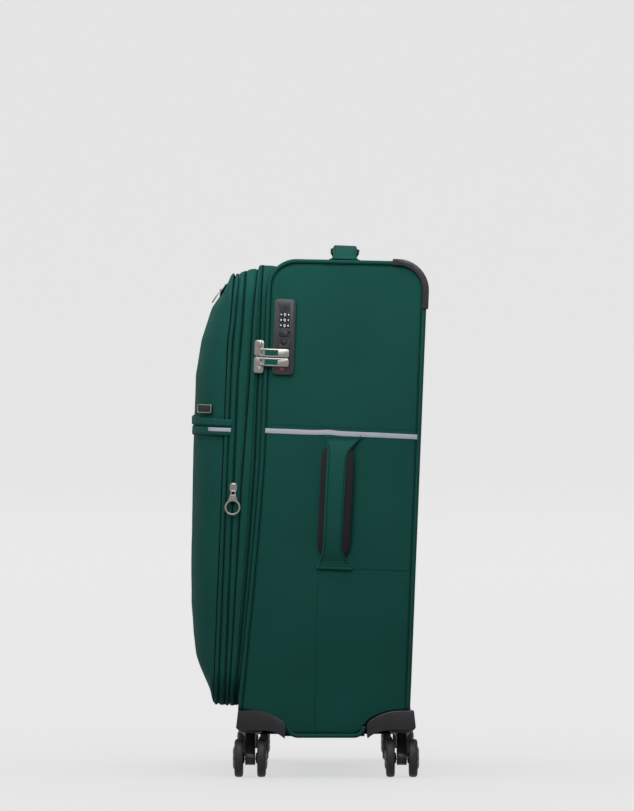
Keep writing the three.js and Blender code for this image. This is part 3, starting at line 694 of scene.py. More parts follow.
def wrap_outline():
    """The outline that the front, foot, back and top cloth follows, from below the lid round."""
    inset, heel_r, toe_r = 1.3, 20, 18
    z = np.linspace(LID["low"] + 4, 78, 14)
    front = line(front_edge(z) + inset, z)
    heel = front_edge(BOTTOM_Z[0] + heel_r) + inset + heel_r
    heel_arc = arc(heel, bottom_line(heel) + inset + heel_r, heel_r, (1, 1.5), 9)[1:]
    y = np.linspace(heel, BACK_Y - inset - toe_r, 70)[1:]
    foot = line(y, bottom_line(y) + inset)
    toe_arc = arc(foot[-1][0], foot[-1][1] + toe_r, toe_r, (-0.5, 0), 9)[1:]
    back = line(BACK_Y - inset, np.linspace(toe_arc[-1][1], TOP_Z[1] - TOP_R, 190)[1:])
    rear = arc(BACK_Y - TOP_R, TOP_Z[1] - TOP_R, TOP_R - inset, (0, 0.5), 16)[1:]
    y = np.linspace(FRONT_Y + TOP_R, BACK_Y - TOP_R, 50)[:-1]
    y = np.unique(np.concatenate([y, [CUP_FRONT]]))[::-1]
    top = line(y, top_line(y) - inset)
    brow = arc(FRONT_Y + TOP_R, TOP_Z[0] - TOP_R, TOP_R - inset, (0.5, 0.78), 12)[1:]
    return np.concatenate([front, heel_arc, foot, toe_arc, back, rear, top, brow])


def wrap():
    """The cloth across the width: front foot, bottom, back and top, cut out for the handle cup."""
    outline = wrap_outline()
    edge = np.array([0, 1.5, 4, 8, 14, 22, 32, 44, 58, 67.4, 74, 90, 106])
    half = np.concatenate([SIDE_X - 2.2 - edge, [CUP_HALF], np.linspace(120, 12, 10)])
    half = np.unique(half)[::-1]
    x = np.concatenate([half, [0], -half[::-1]])
    run = np.concatenate([[0], np.cumsum(np.linalg.norm(np.diff(outline, axis=0), axis=1))])
    roll = 1.6 * np.exp(-((SIDE_X - np.abs(x)) / 3.0))[None]
    sink = roll + 0.7 + ripple(x[None], run[:, None], 0.45, 33)
    place = outline[:, None] + inward_of(outline)[:, None] * sink[..., None]
    mid = (outline[1:] + outline[:-1]) / 2
    across = np.abs((x[1:] + x[:-1]) / 2)
    on_top = (mid[:, 1] > 745) & (mid[:, 0] > CUP_FRONT) & (mid[:, 0] < CUP_REAR)
    in_cup = on_top[:, None] & (across < CUP_HALF)[None]
    low = mid[:, 1] < above_housing(mid[:, 0])
    in_housing = (across > HOUSING_HALF_X - HOUSING_LENGTH)[None] & low[:, None]
    return cloth(line(x[None], place[..., 0], place[..., 1]), keep=~in_cup & ~in_housing)


def lining():
    """Grey lining of the case, stepped over the wheel housings."""
    gap = 7
    y, z, _ = side_grid(PANEL_IN + 4)
    x = SIDE_X - gap - ripple(y, z, 0.5, 40)
    sides = [cloth(line(side * x, y, z)) for side in (-1, 1)]
    outline = wrap_outline()[10:]
    x = np.linspace(-SIDE_X + gap, SIDE_X - gap, 80)
    place = outline + inward_of(outline) * (gap - 1)
    y, z = place[:, :1], place[:, 1:]
    y = np.where((y > 100) & (z > 95), np.minimum(y, 110), y)
    corner = (np.abs(x) > 160)[None] & (z < 112) & (np.abs(y - CASTER_MID_Y) > 55)
    z = np.where(corner, 110, z)
    sides.append(cloth(line(x, y, z)))
    return sides


def build_case():
    panels, edges, shade_cords = [], [], []
    for side in (-1, 1):
        panels.append(side_panel(side))
        runs, under = piping(side)
        edges += runs
        shade_cords += under
    panels.append(wrap())
    piece("case_cloth", panels, TWILL, "case", ["main_shell"], thick=FABRIC)
    piece("case_piping", edges, PIPING, "case")
    piece("case_piping_shade_cord", shade_cords, SHADOW_TAPE, "case")
    piece("case_lining", lining(), LINING, "case", thick=0.8)


def line_on_side(side, points, out=0.0, steps=60):
    """A line over the side panel's own relief, from a few (y, z) knots."""
    path = smooth_curve(points, max(1, steps // max(1, len(points) - 1)))
    path = path if len(points) > 2 else np.linspace(points[0], points[1], steps)
    y, z = path.T
    edge = np.minimum(y - FRONT_Y - PANEL_IN, BACK_Y - PANEL_IN - y)
    x = side * (SIDE_X - panel_relief(y, z, np.maximum(edge, 0)) + out)
    return line(x, y, z)


def build_side_sewing():
    rows = []
    back = BACK_Y - PANEL_IN - 1
    front = FRONT_Y + PANEL_IN + 1
    for side in (-1, 1):
        out = (side, 0, 0)
        for z in (SEAM_Z - 3.4, SEAM_Z + 3.2):
            rows.append(stitches(line_on_side(side, [(SEAM_FROM_Y + 2, z), (back, z)]), out))
        down = [(7, 66), (4.5, 190), (2.1, SEAM_Z - 4)]
        rows.append(stitches(line_on_side(side, down), out))
        z = STRIPE_Z + 9.5
        rows.append(stitches(line_on_side(side, [(front, z), (back, z)]), out))
        path = on_side(side, front_outline(PANEL_IN + 3.2)[4:-4], -0.9)
        rows.append(stitches(path, out, height=0.3, width=0.6))
    piece("case_stitching", rows, THREAD, "case")


def stripe_path(side):
    """The reflective tape, lifted a little where it runs over the side handle's end."""
    y = np.linspace(FRONT_Y + PANEL_IN - 1.0, BACK_Y - PANEL_IN + 0.6, 120)
    z = STRIPE_Z + 1.2 * np.exp(-(((y - 10) / 14) ** 2)) - 0.5 * np.clip((y - 80) / 60, 0, 1)
    over = np.exp(-(((y - 31) / 33) ** 8)) if side > 0 else 0 * y
    x = side * (SIDE_X + 0.1 + 2.9 * over)
    return line(x, y, z)


def build_stripes():
    bands = []
    for side in (-1, 1):
        path = stripe_path(side)
        bands.append(sweep(path, (side, 0, 0), tape_ring(7.3, 0.9, 0.4, 3) - [0.5, 0]))
    piece("side_stripe", bands, STRIPE, "case")


# ---------------------------------------------------------------- rings round the lid's outline
def ring_outline(rim, inset=0.0, straight=70, turns=14):
    """Points (x, z) round a rounded rectangle from the middle of its foot, and outward normals."""
    half, r = rim["half"] - inset, rim["corner"] - inset
    low, high = rim["low"] + inset, rim["high"] - inset
    sides = (
        ((0, low), (half - r, low), (half - r, low + r), -90, 18),
        ((half, low + r), (half, high - r), (half - r, high - r), 0, straight),
        ((half - r, high), (-half + r, high), (-half + r, high - r), 90, 36),
        ((-half, high - r), (-half, low + r), (-half + r, low + r), 180, straight),
        ((-half + r, low), (0, low), None, 270, 18),
    )
    points, normals = [], []
    for start, end, centre, angle, count in sides:
        a = math.radians(angle)
        for t in np.linspace(0, 1, count + 1)[:-1]:
            points.append((start[0] + (end[0] - start[0]) * t, start[1] + (end[1] - start[1]) * t))
            normals.append((math.cos(a), math.sin(a)))
        if centre is None:
            continue
        for turn in np.linspace(angle, angle + 90, turns + 1)[:-1]:
            a = math.radians(turn)
            points.append((centre[0] + r * math.cos(a), centre[1] + r * math.sin(a)))
            normals.append((math.cos(a), math.sin(a)))
    return np.array(points), np.array(normals)


def ring_surface(profile, steps=4, wave=0.25):
    """A band swept round the lid from a profile of (y, outward) pairs, as the cloth lies."""
    points, normals = ring_outline(LID)
    curve = smooth_curve(profile, steps) if steps > 1 else np.array(profile, float)
    y, out = curve[:, 0][None], curve[:, 1][None]
    x0, z0 = points[:, :1], points[:, 1:]
    run = np.cumsum(np.linalg.norm(np.diff(points, axis=0, prepend=points[-1:]), axis=1))[:, None]
    out = out + wave * np.sin(run / 23 + 0.4 * y) * np.sin(run / 57 + y / 9)
    up = np.clip(normals[:, 1:], 0, 1)
    sag = up * np.clip(-102 - y, 0, None) * 0.36
    depth = seam_y(y * np.ones_like(x0), z0)
    x = x0 + out * normals[:, :1]
    z = z0 + out * normals[:, 1:] - sag
    return line(x, depth, z)


def ring_line(y, out):
    """A closed line at one place in the band's profile, with its outward directions."""
    surface = ring_surface([(y, out), (y - 0.01, out)], steps=1, wave=0)
    _, normals = ring_outline(LID)
    outward = line(normals[:, 0], 0, normals[:, 1])
    return surface[:, 0], outward


def band(profile, **how):
    return cloth(ring_surface(profile, **how), closed=True)


def closed(path):
    return np.concatenate([path, path[:1]])


def ring_cord(y, out, r, sides):
    path, outward = ring_line(y, out)
    return sweep(path, outward, circle(r, sides), closed=True)


def ring_sewing(name, body, rows):
    sewing = []
    for y, out in rows:
        path, outward = ring_line(y, out)
        sewing.append(stitches(closed(path), closed(outward), *BAND_STITCH))
    piece(name, sewing, THREAD, body)


def mouth_band():
    """The cloth from the case's edge to the fixed half of the main zip."""
    points, normals = ring_outline(LID)
    back = case_front(np.clip(points[:, 1], 112, 770))
    chain = seam_y(np.array(CHAIN_Y + 0.6), points[:, 1])
    profile = ((-6, 7.5, 0), (0, 7.5, 0), (0, 3, 0), (0.15, 1.2, 0), (0.5, 0.4, 0), (0.75, 0.35, 0))
    profile += ((0.9, 0.6, 0), (1, 1.6, 0), (0.9, 2.6, 0), (0.3, 5, 0), (0.1, 7, 2))
    rows = []
    for share, inset, behind in profile:
        y = back + max(share, 0) * (chain - back) + (6 if share < 0 else behind)
        x = points[:, 0] - inset * normals[:, 0]
        z = points[:, 1] - inset * normals[:, 1]
        rows.append(line(x, y, z))
    return np.stack(rows, 1)


def mouth_corners():
    """The case's own front, where it shows outside the lid's four rounded corners."""
    points, normals = ring_outline(LID)
    slanted = np.minimum(np.abs(normals[:, 0]), np.abs(normals[:, 1])) > 0.04
    patches = []
    for side in (-1, 1):
        for end, limit in ((-1, 70.0), (1, 775.6)):
            chosen = slanted & (normals[:, 0] * side > 0) & (normals[:, 1] * end > 0)
            at, out = points[chosen], normals[chosen]
            to_side = (SIDE_X - 1.6 - np.abs(at[:, 0])) / np.abs(out[:, 0])
            to_end = (limit - at[:, 1]) / out[:, 1]
            reach = np.minimum(to_side, to_end)[:, None]
            run = -7.6 + np.linspace(0, 1, 12) * (reach + 7.6)
            x = at[:, :1] + out[:, :1] * run
            z = at[:, 1:] + out[:, 1:] * run
            patches.append(cloth(line(x, case_front(z) + 0.8, z)))
    return patches


def build_lid():
    piece("mouth_corners", mouth_corners(), TWILL, "case", thick=0.8)
    mouth = [cloth(mouth_band(), closed=True)]
    piece("mouth_band", mouth, TAPE, "case", thick=0.8)
    tape = [(-99.4, -3.0), (-99.8, -1.4), (-100.8, -1.0), (-102.4, -0.8), (-103.6, -0.2)]
    body = [(-103.8, -0.4), (-105, 0.5), (-108, 1.0), (-112, 1.1), (-115, 0.4), (-116.4, -1.4)]
    body += [(-117.2, -4.2), (-118.2, -1.6), (-119.6, 0.2), (-122, 1.0), (-125, 1.1)]
    body += [(-127, 0.4), (-128.2, -0.8), (-128.9, -1.8), (-128.6, -4.5)]
    parts = [band(body, wave=0.35)]
    piece("lid_cloth", parts, TWILL, "lid", ["lid_frame"], thick=FABRIC)
    inside = [(-99.2, -4), (-100, -7.2), (-110, -7.6), (-127, -7.2), (-128.2, -5)]
    piece("lid_zip_tape", [band(tape), band(inside, wave=0.1)], TAPE, "lid", thick=0.6)
    teeth = []
    for y, out, width in ((CHAIN_Y - 0.1, -0.9, 4.0), (EXPANSION_Y, -1.0, 3.0)):
        path, outward = ring_line(y, out)
        teeth.append(zip_teeth(closed(path), closed(outward), 2.1, width))
    piece("lid_zip_chains", teeth, THREAD, "lid")
    ring_sewing("lid_stitching", "lid", ((-104.9, 0.55), (-120.2, 0.5), (-125.6, 0.45)))
    # painted shade: a dark cord laid in the lid cloth's groove
    piece("lid_groove_shade", [ring_cord(-117.2, -2.6, 1.5, 8)], SHADOW_TAPE, "lid")


def build_gusset():
    """Folded cloth that the expansion zip lets out, between lid and front."""
    y = np.linspace(-121.5, -134.5, 27)
    tucked = 6.4 - 2.4 * np.abs((y + 128) / 6.5) ** 2
    surface = ring_surface(line(y, -tucked), steps=1, wave=0.1)
    surface[..., 1] = y
    parts = [cloth(surface, closed=True)]
    cover = piece("expansion_fabric", parts, TAPE, None, ["expansion_gusset"])
    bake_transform(cover)


def build_hinge():
    """Cloth hinge inside the plain side, a sheet spanning from the case to the lid."""
    z = np.linspace(130, 746, 90)
    y = np.array([-78, -82, -86, -89, -91, -93, -95, -98, -102, -107, -112.0])
    x = -226.6 + ripple(z[:, None], y[None], 0.15, 20)
    parts = [cloth(line(x, y[None], z[:, None]))]
    hinge = piece("lid_hinge_cloth", parts, LINING, None, ["lid_hinge_strip"])
    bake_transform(hinge)


# ---------------------------------------------------------------- pockets
def pocket_reach(z):
    """How far the pockets stand out at height z, smoothed between the profile's heights."""
    fine = np.linspace(100, 780, 1361)
    raw = np.interp(fine, POCKET_Z, POCKET_REACH)
    weight = np.exp(-((np.arange(-30, 31) / 9.0) ** 2))
    padded = np.concatenate([np.full(30, raw[0]), raw, np.full(30, raw[-1])])
    soft = np.convolve(padded, weight / weight.sum(), "valid")
    return np.interp(z, fine, soft)


def plan_bulge(x):
    share = np.clip(np.abs(x) / POCKET["half"], 0, 1)
    return (1 - share**6) ** 0.6


def pocket_y(x, z):
    bulge = plan_bulge(x)
    return pocket_foot(z, bulge) - pocket_reach(z) * bulge


def pocket_foot(z, bulge=0):
    """Where the pockets are sewn to the front, which lies further back towards the top."""
    return POCKET_Y + 0.7 * front_shift(z) * (1 - bulge)


def pocket_ends(x):
    """Lowest and highest point of the pockets at x, inside their rounded corners."""
    r = POCKET["corner"]
    past = np.clip(np.abs(x) - (POCKET["half"] - r), 0, r)
    drop = r - np.sqrt(r**2 - past**2)
    return POCKET["low"] + drop, POCKET["high"] - drop


def pocket_columns():
    half = POCKET["half"]
    turn = np.linspace(0, math.pi / 2, 34)
    near = half - 60 * (1 - np.cos(turn))
    side = np.unique(np.concatenate([near, np.linspace(0, half - 60, 44)]))
    return np.concatenate([-side[::-1], side[1:]])


def pocket_skin(low_z, high_z, rows, wrinkle, seed):
    """One pocket's outer cloth between two heights, which dip towards the sides."""
    x = pocket_columns()
    foot, head = pocket_ends(x)
    dip = (np.abs(x) / POCKET["half"]) ** 2
    low = np.maximum(foot, low_z - BAND_DIP * dip)
    high = np.minimum(head, high_z - 2 * dip)
    share = np.concatenate([[0, 0.003, 0.008], np.linspace(0.016, 0.984, rows), [0.992, 0.997, 1]])
    z = low[None] + (high - low)[None] * share[:, None]
    y = pocket_y(x[None], z)
    edge = np.minimum(z - foot[None], head[None] - z)
    turn_in = np.sqrt(1 - (1 - np.clip(edge / 7, 0, 1)) ** 2)
    y = pocket_foot(z) + (y - pocket_foot(z)) * turn_in
    inner = np.clip(edge / 40, 0, 1) * plan_bulge(x)[None]
    pull = ripple(x[None] + seed, z * 0.45, wrinkle, 19) + ripple(z, x[None], wrinkle * 0.4, 8)
    y = y + inner * pull
    return line(x[None], y, z)


def around_front(z, out=0.0, to_y=-136.0, count=150, dip=0.0):
    """A line round the pockets at a height, from one side end to the other, and its normals."""
    half = POCKET["half"]
    turn = np.linspace(-math.pi / 2, math.pi / 2, count)
    x = half * np.sin(turn)
    height = z - dip * (np.abs(x) / half) ** 2
    y = pocket_y(x, height)
    clear = 3.6 * np.exp(-np.abs(y - POCKET_Y) / 9)
    tail = np.linspace(to_y, POCKET_Y, 7)[:-1]
    x = x + np.sign(x) * clear
    x = np.concatenate([np.full(6, -half - 3.9), x, np.full(6, half + 3.9)])
    y = np.concatenate([tail, y, tail[::-1]])
    height = np.concatenate([np.full(6, height[0]), height, np.full(6, height[-1])])
    path = line(x, y, height)
    along = unit(np.gradient(path, axis=0))
    outward = unit(line(along[:, 1], -along[:, 0], 0))
    return path + outward * out, outward


def band_strip(z, height, side_height, dip, proud, thick):
    """A padded cover round the pockets, narrower at its two side ends."""
    path, outward = around_front(z, proud, dip=dip)
    section = tape_ring(1, 1, 0.3, 4)
    share = (np.abs(path[:, 0]) / POCKET["half"]) ** 2
    rings = []
    for at, out, wide in zip(path, outward, height + (side_height - height) * share):
        corner = np.clip((wide / 2 - np.abs(section[:, 1]) * wide) / 2.2, 0, 1)
        depth = section[:, 0] * thick * (0.35 + 0.65 * np.sqrt(1 - (1 - corner) ** 2))
        up = section[:, 1:] * wide * np.array([[0, 0, 1.0]])
        rings.append(at + depth[:, None] * out + up)
    grid = np.stack(rings)
    return cloth(np.concatenate([grid, grid[:, :1]], 1))


def build_pockets():
    for name, *shape in (
        ("lower_pocket", 60, BAND_TOP_Z - 27, 150, 0.9, 0),
        ("upper_pocket", BAND_TOP_Z - 5, 800, 100, 0.55, 70),
    ):
        parts = [cloth(pocket_skin(*shape))]
        piece(name + "_cloth", parts, TWILL, "front", [name], thick=1.4)
    bands = [
        band_strip(531.2, 15.4, 11.0, 4.4, 0.6, 3.6),
        band_strip(515.4, 15.6, 13.6, 1.2, -0.2, 3.4),
    ]
    piece("zip_cover_bands", bands, STRAP, "front", ["pocket_zip_band"])
    sewing = []
    rows = ((536.6, 6.4, 4.1), (526.2, 2.6, 4.1), (510.4, 0.4, 3.1), (543, 6.8, 0.3), (504, 2, 0.3))
    for z, dip, proud in rows:
        path, outward = around_front(z, proud, to_y=-140, dip=dip)
        sewing.append(stitches(path, outward, *POCKET_STITCH))
    piece("pocket_stitching", sewing, THREAD, "front")
    strips = []
    for side in (-1, 1):
        path, outward = around_front(516.8, 3.1, to_y=-136.5)
        ends = (path[:, 0] * side > 0) & (path[:, 1] > -172)
        strips.append(sweep(path[ends], outward[ends], tape_ring(5.6, 0.8, 0.35, 3)))
    piece("band_end_strips", strips, STRIPE, "front")


def build_front():
    body = [(-130.2, -4.4), (-130, -1.6), (-130.8, -0.6), (-132.2, 0.5), (-134.5, 1.0)]
    body += [(-137, 0.5), (-138.8, -1.4), (-139.6, -3.8), (-140.6, -2.6), (-141, -2.2)]
    face = [(-141, -3), (-144, -3.6), (-146.2, -5), (-146.6, -8)]
    parts = [band(body, wave=0.35), band(face, steps=3)]
    piece("front_cloth", parts, TWILL, "front", ["front_panel"], thick=FABRIC)
    piece("front_piping", [ring_cord(-143.2, -2.3, 2.9, 12)], PIPING, "front")
    # painted shade: dark cords laid in the front cloth's two grooves
    shade_cords = [ring_cord(-139.6, -2.6, 1.1, 8), ring_cord(-146.9, -3.6, 0.9, 8)]
    piece("front_groove_shade", shade_cords, SHADOW_TAPE, "front")
    ring_sewing("front_stitching", "front", ((-131.9, 0.5), (-137.4, 0.5)))


def build_front_lining():
    """Lining panel inside the lid with a mesh pocket, which has a zip across its top."""
    half, low, high = LID["half"] - 8, LID["low"] + 8, LID["high"] - 14
    x = np.linspace(-half, half, 70)
    share = np.linspace(0, 1, 90)
    r = 40
    past = np.clip(np.abs(x) - (half - r), 0, r)
    drop = r - np.sqrt(r**2 - past**2)
    z = (low + drop)[None] + (high - low - 2 * drop)[None] * share[:, None]
    edge = np.minimum(np.minimum(z - low, high - z), half - np.abs(x)[None])
    y = -133.2 - 1.2 * np.clip(edge / 30, 0, 1) + ripple(x[None], z, 0.35, 28)
    panel = line(x[None], y, z)
    piece("front_lining", [cloth(panel)], LINING, "front", thick=0.8)
    net = panel[4:68, 6:-6].copy()
    lift = np.clip(np.arange(64), 0, 6)[:, None] / 6
    net[..., 1] += 1.0 + 1.2 * lift * np.sin(np.linspace(0, math.pi, 58))[None]
    piece("lid_mesh_pocket", [cloth(net)], MESH_LINING, "front", thick=0.5)
    top = net[-1] + [0, 0.9, 2]
    tape = sweep(top, (0, 1, 0), tape_ring(9, 0.8, 0.3, 3))
    teeth = zip_teeth(top + [0, 0.9, 0], (0, 1, 0), 2.4, 4.0)
    piece("lid_mesh_zip", [tape, teeth], WEBBING, "front")


SLOPE = math.radians(TOP_ZIP["tilt"])
SLOPE_OUT = np.array([0, -math.sin(SLOPE), math.cos(SLOPE)])
SLOPE_UP = np.array([0, math.cos(SLOPE), math.sin(SLOPE)])


def top_zip_line(lift, up=0.0, half=186):
    x = np.linspace(-half, half, 120)
    bulge = plan_bulge(x)
    foot = pocket_foot(TOP_ZIP["z"])
    y = foot + (TOP_ZIP["y"] + 1.1 - foot) * bulge
    return line(x, y, TOP_ZIP["z"]) + SLOPE_OUT * lift + SLOPE_UP * up


def build_pocket_zips():
    tape = [sweep(top_zip_line(-0.6), SLOPE_OUT, tape_ring(19, 1.0, 0.4, 3))]
    path, outward = around_front(523.6, -1.5, to_y=-147, dip=2.6)
    middle = np.abs(path[:, 0]) < 205
    tape.append(sweep(path[middle], outward[middle], tape_ring(9, 1.0, 0.4, 3)))
    piece("pocket_zip_tape", tape, TAPE, "front")
    rows = [zip_teeth(top_zip_line(0.2), SLOPE_OUT, 2.1, 4.6)]
    for up in (-8, 8):
        rows.append(stitches(top_zip_line(0.4, up), SLOPE_OUT, *POCKET_STITCH))
    piece("pocket_zip_chain", rows, THREAD, "front")
    ends = []
    for end in (0, -1):
        middle = top_zip_line(0.6)[end]
        across = middle + np.linspace(-8.5, 8.5, 9)[:, None] * SLOPE_UP
        ends.append(sweep(across, SLOPE_OUT, tape_ring(13, 1.4, 0.6, 3)))
    piece("pocket_zip_ends", ends, STRAP, "front")


def build_badge():
    """A blank badge: a dark plate in a satin metal frame."""
    refined("badge", DIAL_BLACK, "front", 0.5)
    turn = math.radians(39)
    right = np.array([math.cos(turn), math.sin(turn), 0])
    out = np.array([math.sin(turn), -math.cos(turn), 0])
    centre = np.array([214.9, -176.4, 547.5]) + out * 2.3
    shape = {"half": 16.2, "low": -5.7, "high": 5.7, "corner": 1.5}
    points, _ = ring_outline(shape, 0, 6, 4)
    path = centre + points[:, :1] * right + points[:, 1:] * np.array([0, 0, 1])
    rim = sweep(path, out, circle(0.85, 8), closed=True)
    piece("badge_frame", [rim], NICKEL, "front")


# ---------------------------------------------------------------- handles
def arch(share):
    return 1 - np.abs(share) ** 3


def strap_edges(z):
    """Front and rear edge of the side handle's strap, flared where it is sewn down."""
    top = np.clip((z - 478) / 34, 0, 1) ** 1.9
    foot = np.clip((350 - z) / 34, 0, 1) ** 1.9
    front = 9 - 7 * np.clip((z - 492) / 20, 0, 1) ** 1.5 - 9.5 * foot
    rear = 39.5 + 23 * top + 18 * foot - 2.2 * np.clip((505 - z) / 190, 0, 1)
    front = front - 1.2 * np.clip((505 - z) / 190, 0, 1)
    return front, rear


def strap_parts(front, rear, thick, edge_r):
    """Depths across a strap between its edges, and how far its two faces stand out there."""
    y = front[:, None] + (rear - front)[:, None] * np.linspace(0, 1, 23)
    edge = np.minimum(y - front[:, None], rear[:, None] - y)
    crown = thick * np.sqrt(1 - (1 - np.clip(edge / edge_r, 0, 1)) ** 2)
    groove = 0.4 * np.exp(-(((edge - 3.6) / 0.8) ** 2))
    return y, crown - groove, -0.2 * crown


def build_strap(name, upper, lower):
    """A closed strap from its two faces, smoothed, in place of a CAD handle."""
    grid = np.concatenate([upper, lower[:, ::-1][:, 1:-1], upper[:, :1]], 1)
    parts = [cloth(grid)]
    strap = piece(name + "_strap", parts, STRAP, "case", [name])
    smooth = strap.modifiers.new("smooth", "SUBSURF")
    smooth.levels = smooth.render_levels = 1
    settle(strap)


PAD_TURN = np.linspace(0, 2 * math.pi, 29)
PAD_ACROSS = np.sign(np.cos(PAD_TURN)) * np.abs(np.cos(PAD_TURN)) ** 0.75
PAD_OUT = np.sin(PAD_TURN)[None]


def build_pad(name, points):
    parts = [cloth(points)]
    cover = piece(name + "_pad", parts, WEBBING, "case")


def build_side_handle():
    z = np.linspace(314.5, 516.5, 130)
    middle, half = 416.5, 90
    s = np.clip((z - middle) / half, -1, 1)
    x = (SIDE_X + 0.4 + 10.2 * np.clip(arch(s), 0, 1) ** 0.8)[:, None]
    y, up, down = strap_parts(*strap_edges(z), 2.6, 2.2)
    build_strap("side_handle", line(x + up, y, z[:, None]), line(x + down, y, z[:, None]))
    z = np.linspace(334, 500, 90)
    s = np.clip((z - middle) / 86, -1, 1)
    lift = SIDE_X + 0.4 + 5.2 * arch(s)
    wide = 24.6 * np.clip(1 - np.abs(s) ** 12, 0.02, 1) ** 0.45
    mid_y = 25.6 - 1.3 * (1 - (z - 334) / 166)
    y = mid_y[:, None] + wide[:, None] * PAD_ACROSS
    grow = 3.1 * np.clip(1 - np.abs(s) ** 6, 0.04, 1) ** 0.5
    x = lift[:, None] + 2.3 + grow[:, None] * PAD_OUT * 0.9 + ripple(z[:, None], y, 0.2, 12)
    build_pad("side_handle", line(x, y, z[:, None]))
    rows = []
    z = np.linspace(322, 509, 150)
    s = np.clip((z - middle) / half, -1, 1)
    x = SIDE_X + 0.4 + 10.2 * arch(s) ** 0.8 + 2.9
    front, rear = strap_edges(z)
    for y in (front + 3.5, rear - 3.5):
        rows.append(stitches(line(x, y, z), (1, 0, 0), 3.6, 2.5, 1.1, 0.45))
    for z0, y0, y1 in ((319.5, 1, 53), (323.5, 2, 50), (511.5, 5, 58)):
        path = line(SIDE_X + 3.2, np.linspace(y0, y1, 20), z0)
        rows.append(stitches(path, (1, 0, 0), *WEB_STITCH))
    piece("side_handle_stitching", rows, DARK_THREAD, "case")


def top_arch(x, half, rise):
    return rise * arch(np.clip(x / half, -1, 1))


def build_top_handle():
    seat = TOP_Z[1] - 0.2
    x = np.linspace(-122, 122, 110)
    lift = np.where(np.abs(x) < 108, top_arch(x, 108, 24.3), 0)
    z = seat + 0.8 + lift
    wide = 18.5 + 6.5 * np.clip((np.abs(x) - 92) / 24, 0, 1) ** 1.6
    y, up, down = strap_parts(24.5 - wide, 24.5 + wide, 3.4, 2.4)
    x, z = x[:, None], z[:, None]
    build_strap("top_handle", line(x, y, z + up), line(x, y, z + down))
    x = np.linspace(-86, 86, 80)
    z = seat - 2.4 + top_arch(x, 108, 24.3)
    fade = (np.clip(1 - np.abs(x / 86) ** 8, 0.03, 1) ** 0.5)[:, None]
    y = 24.5 + 22.3 * fade * PAD_ACROSS
    z = z[:, None] + 3.2 * fade * PAD_OUT + ripple(x[:, None], y, 0.2, 12)
    build_pad("top_handle", line(x[:, None], y, z))
    rows = []
    x = np.linspace(-104, 104, 120)
    z = seat + 0.8 + top_arch(x, 108, 24.3) + 3.2
    for y in (24.5 - 15, 24.5 + 15):
        rows.append(stitches(line(x, y, z), (0, 0, 1), *WEB_STITCH))
    for side in (-1, 1):
        for at in (100, 118):
            y = np.linspace(4, 45, 18)
            path = line(side * at, y, seat + 4.2 + (at < 105) * 3.5)
            rows.append(stitches(path, (0, 0, 1), *WEB_STITCH))
    piece("top_handle_stitching", rows, THREAD, "case")


# ---------------------------------------------------------------- casters
WHEEL_PROFILE = (
    (3.6, 8.0), (5.2, 9.0), (6.4, 8.9), (7.0, 7.7), (8.0, 7.7), (8.8, 8.5), (14, 8.0), (17.6, 7.1),
    (18.4, 6.0), (19.4, 6.0), (20.2, 6.7), (24.5, 6.6), (27.2, 5.6), (28.3, 4.0), (28.6, 2.0),
    (28.6, 0), (28.6, -2), (28.3, -4.0), (27.2, -5.6), (24.5, -6.4), (12, -6.3), (9, -6.2), (7, -8.6),
    (3.6, -8.7),
)


def wheel_mesh(centre, side, first, last, sides=56):
    profile = np.array(WHEEL_PROFILE[first:last])
    turn = np.arange(sides) * 2 * math.pi / sides
    r, y = profile[:, 0][None], profile[:, 1][None] * side
    x = centre[0] + r * np.cos(turn)[:, None]
    z = centre[2] + r * np.sin(turn)[:, None]
    grid = line(x, centre[1] + y, z)
    return cloth(grid, closed=True)


def hub_ribs(centre, side):
    """Low radial ribs on a wheel's outer disc."""
    ribs = []
    for k in range(6):
        a = k * math.pi / 3
        out = np.array([math.cos(a), 0, math.sin(a)])
        start = centre + out * 9 + np.array([0, side * 8.4, 0])
        end = centre + out * 17 + np.array([0, side * 7.4, 0])
        path = np.linspace(start, end, 5)
        ribs.append(sweep(path, (0, side, 0), tape_ring(2.2, 0.8, 0.35, 2)))
    return ribs


def middle_of(name):
    low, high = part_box(name)
    return (np.array(low) + np.array(high)) * 500


def build_casters():
    for front in ("front", "rear"):
        for hand in ("left", "right"):
            corner = front + "_" + hand
            refined("wheel_housing_" + corner, HOUSING, "case", 1.6)
            refined("caster_fork_" + corner, HOUSING, "caster_" + corner, 0.6)
            coats = NODES["caster_axle_" + corner].data.materials
            coats.clear()
            coats.append(STEEL)
            for label, side in (("a", -1), ("b", 1)):
                build_wheel(f"wheel_{corner}_{label}", side)


def build_wheel(name, side):
    low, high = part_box(name)
    centre = middle_of(name)
    centre[1] = (low.y if side > 0 else high.y) * 1000 + side * 9
    centre[2] = WHEEL_R
    tyre = [wheel_mesh(centre, side, 10, 21)]
    piece(name + "_tyre", tyre, TYRE, name, [name], plumb=True)
    hub = [wheel_mesh(centre, side, 0, 11), wheel_mesh(centre, side, 20, 24)]
    hub += hub_ribs(centre, side)
    piece(name + "_hub", hub, HUB, name, plumb=True)
    cap = centre + np.array([0, side * 8.2, 0])
    disc = []
    for r, y in ((0.01, 0.7), (2.0, 0.6), (3.4, 0.1), (3.7, -0.8)):
        x, z = circle(r, 20).T
        disc.append(cap + line(x, side * y, z))
    piece(name + "_cap", [cloth(np.stack(disc, 1), closed=True)], STEEL, name, plumb=True)


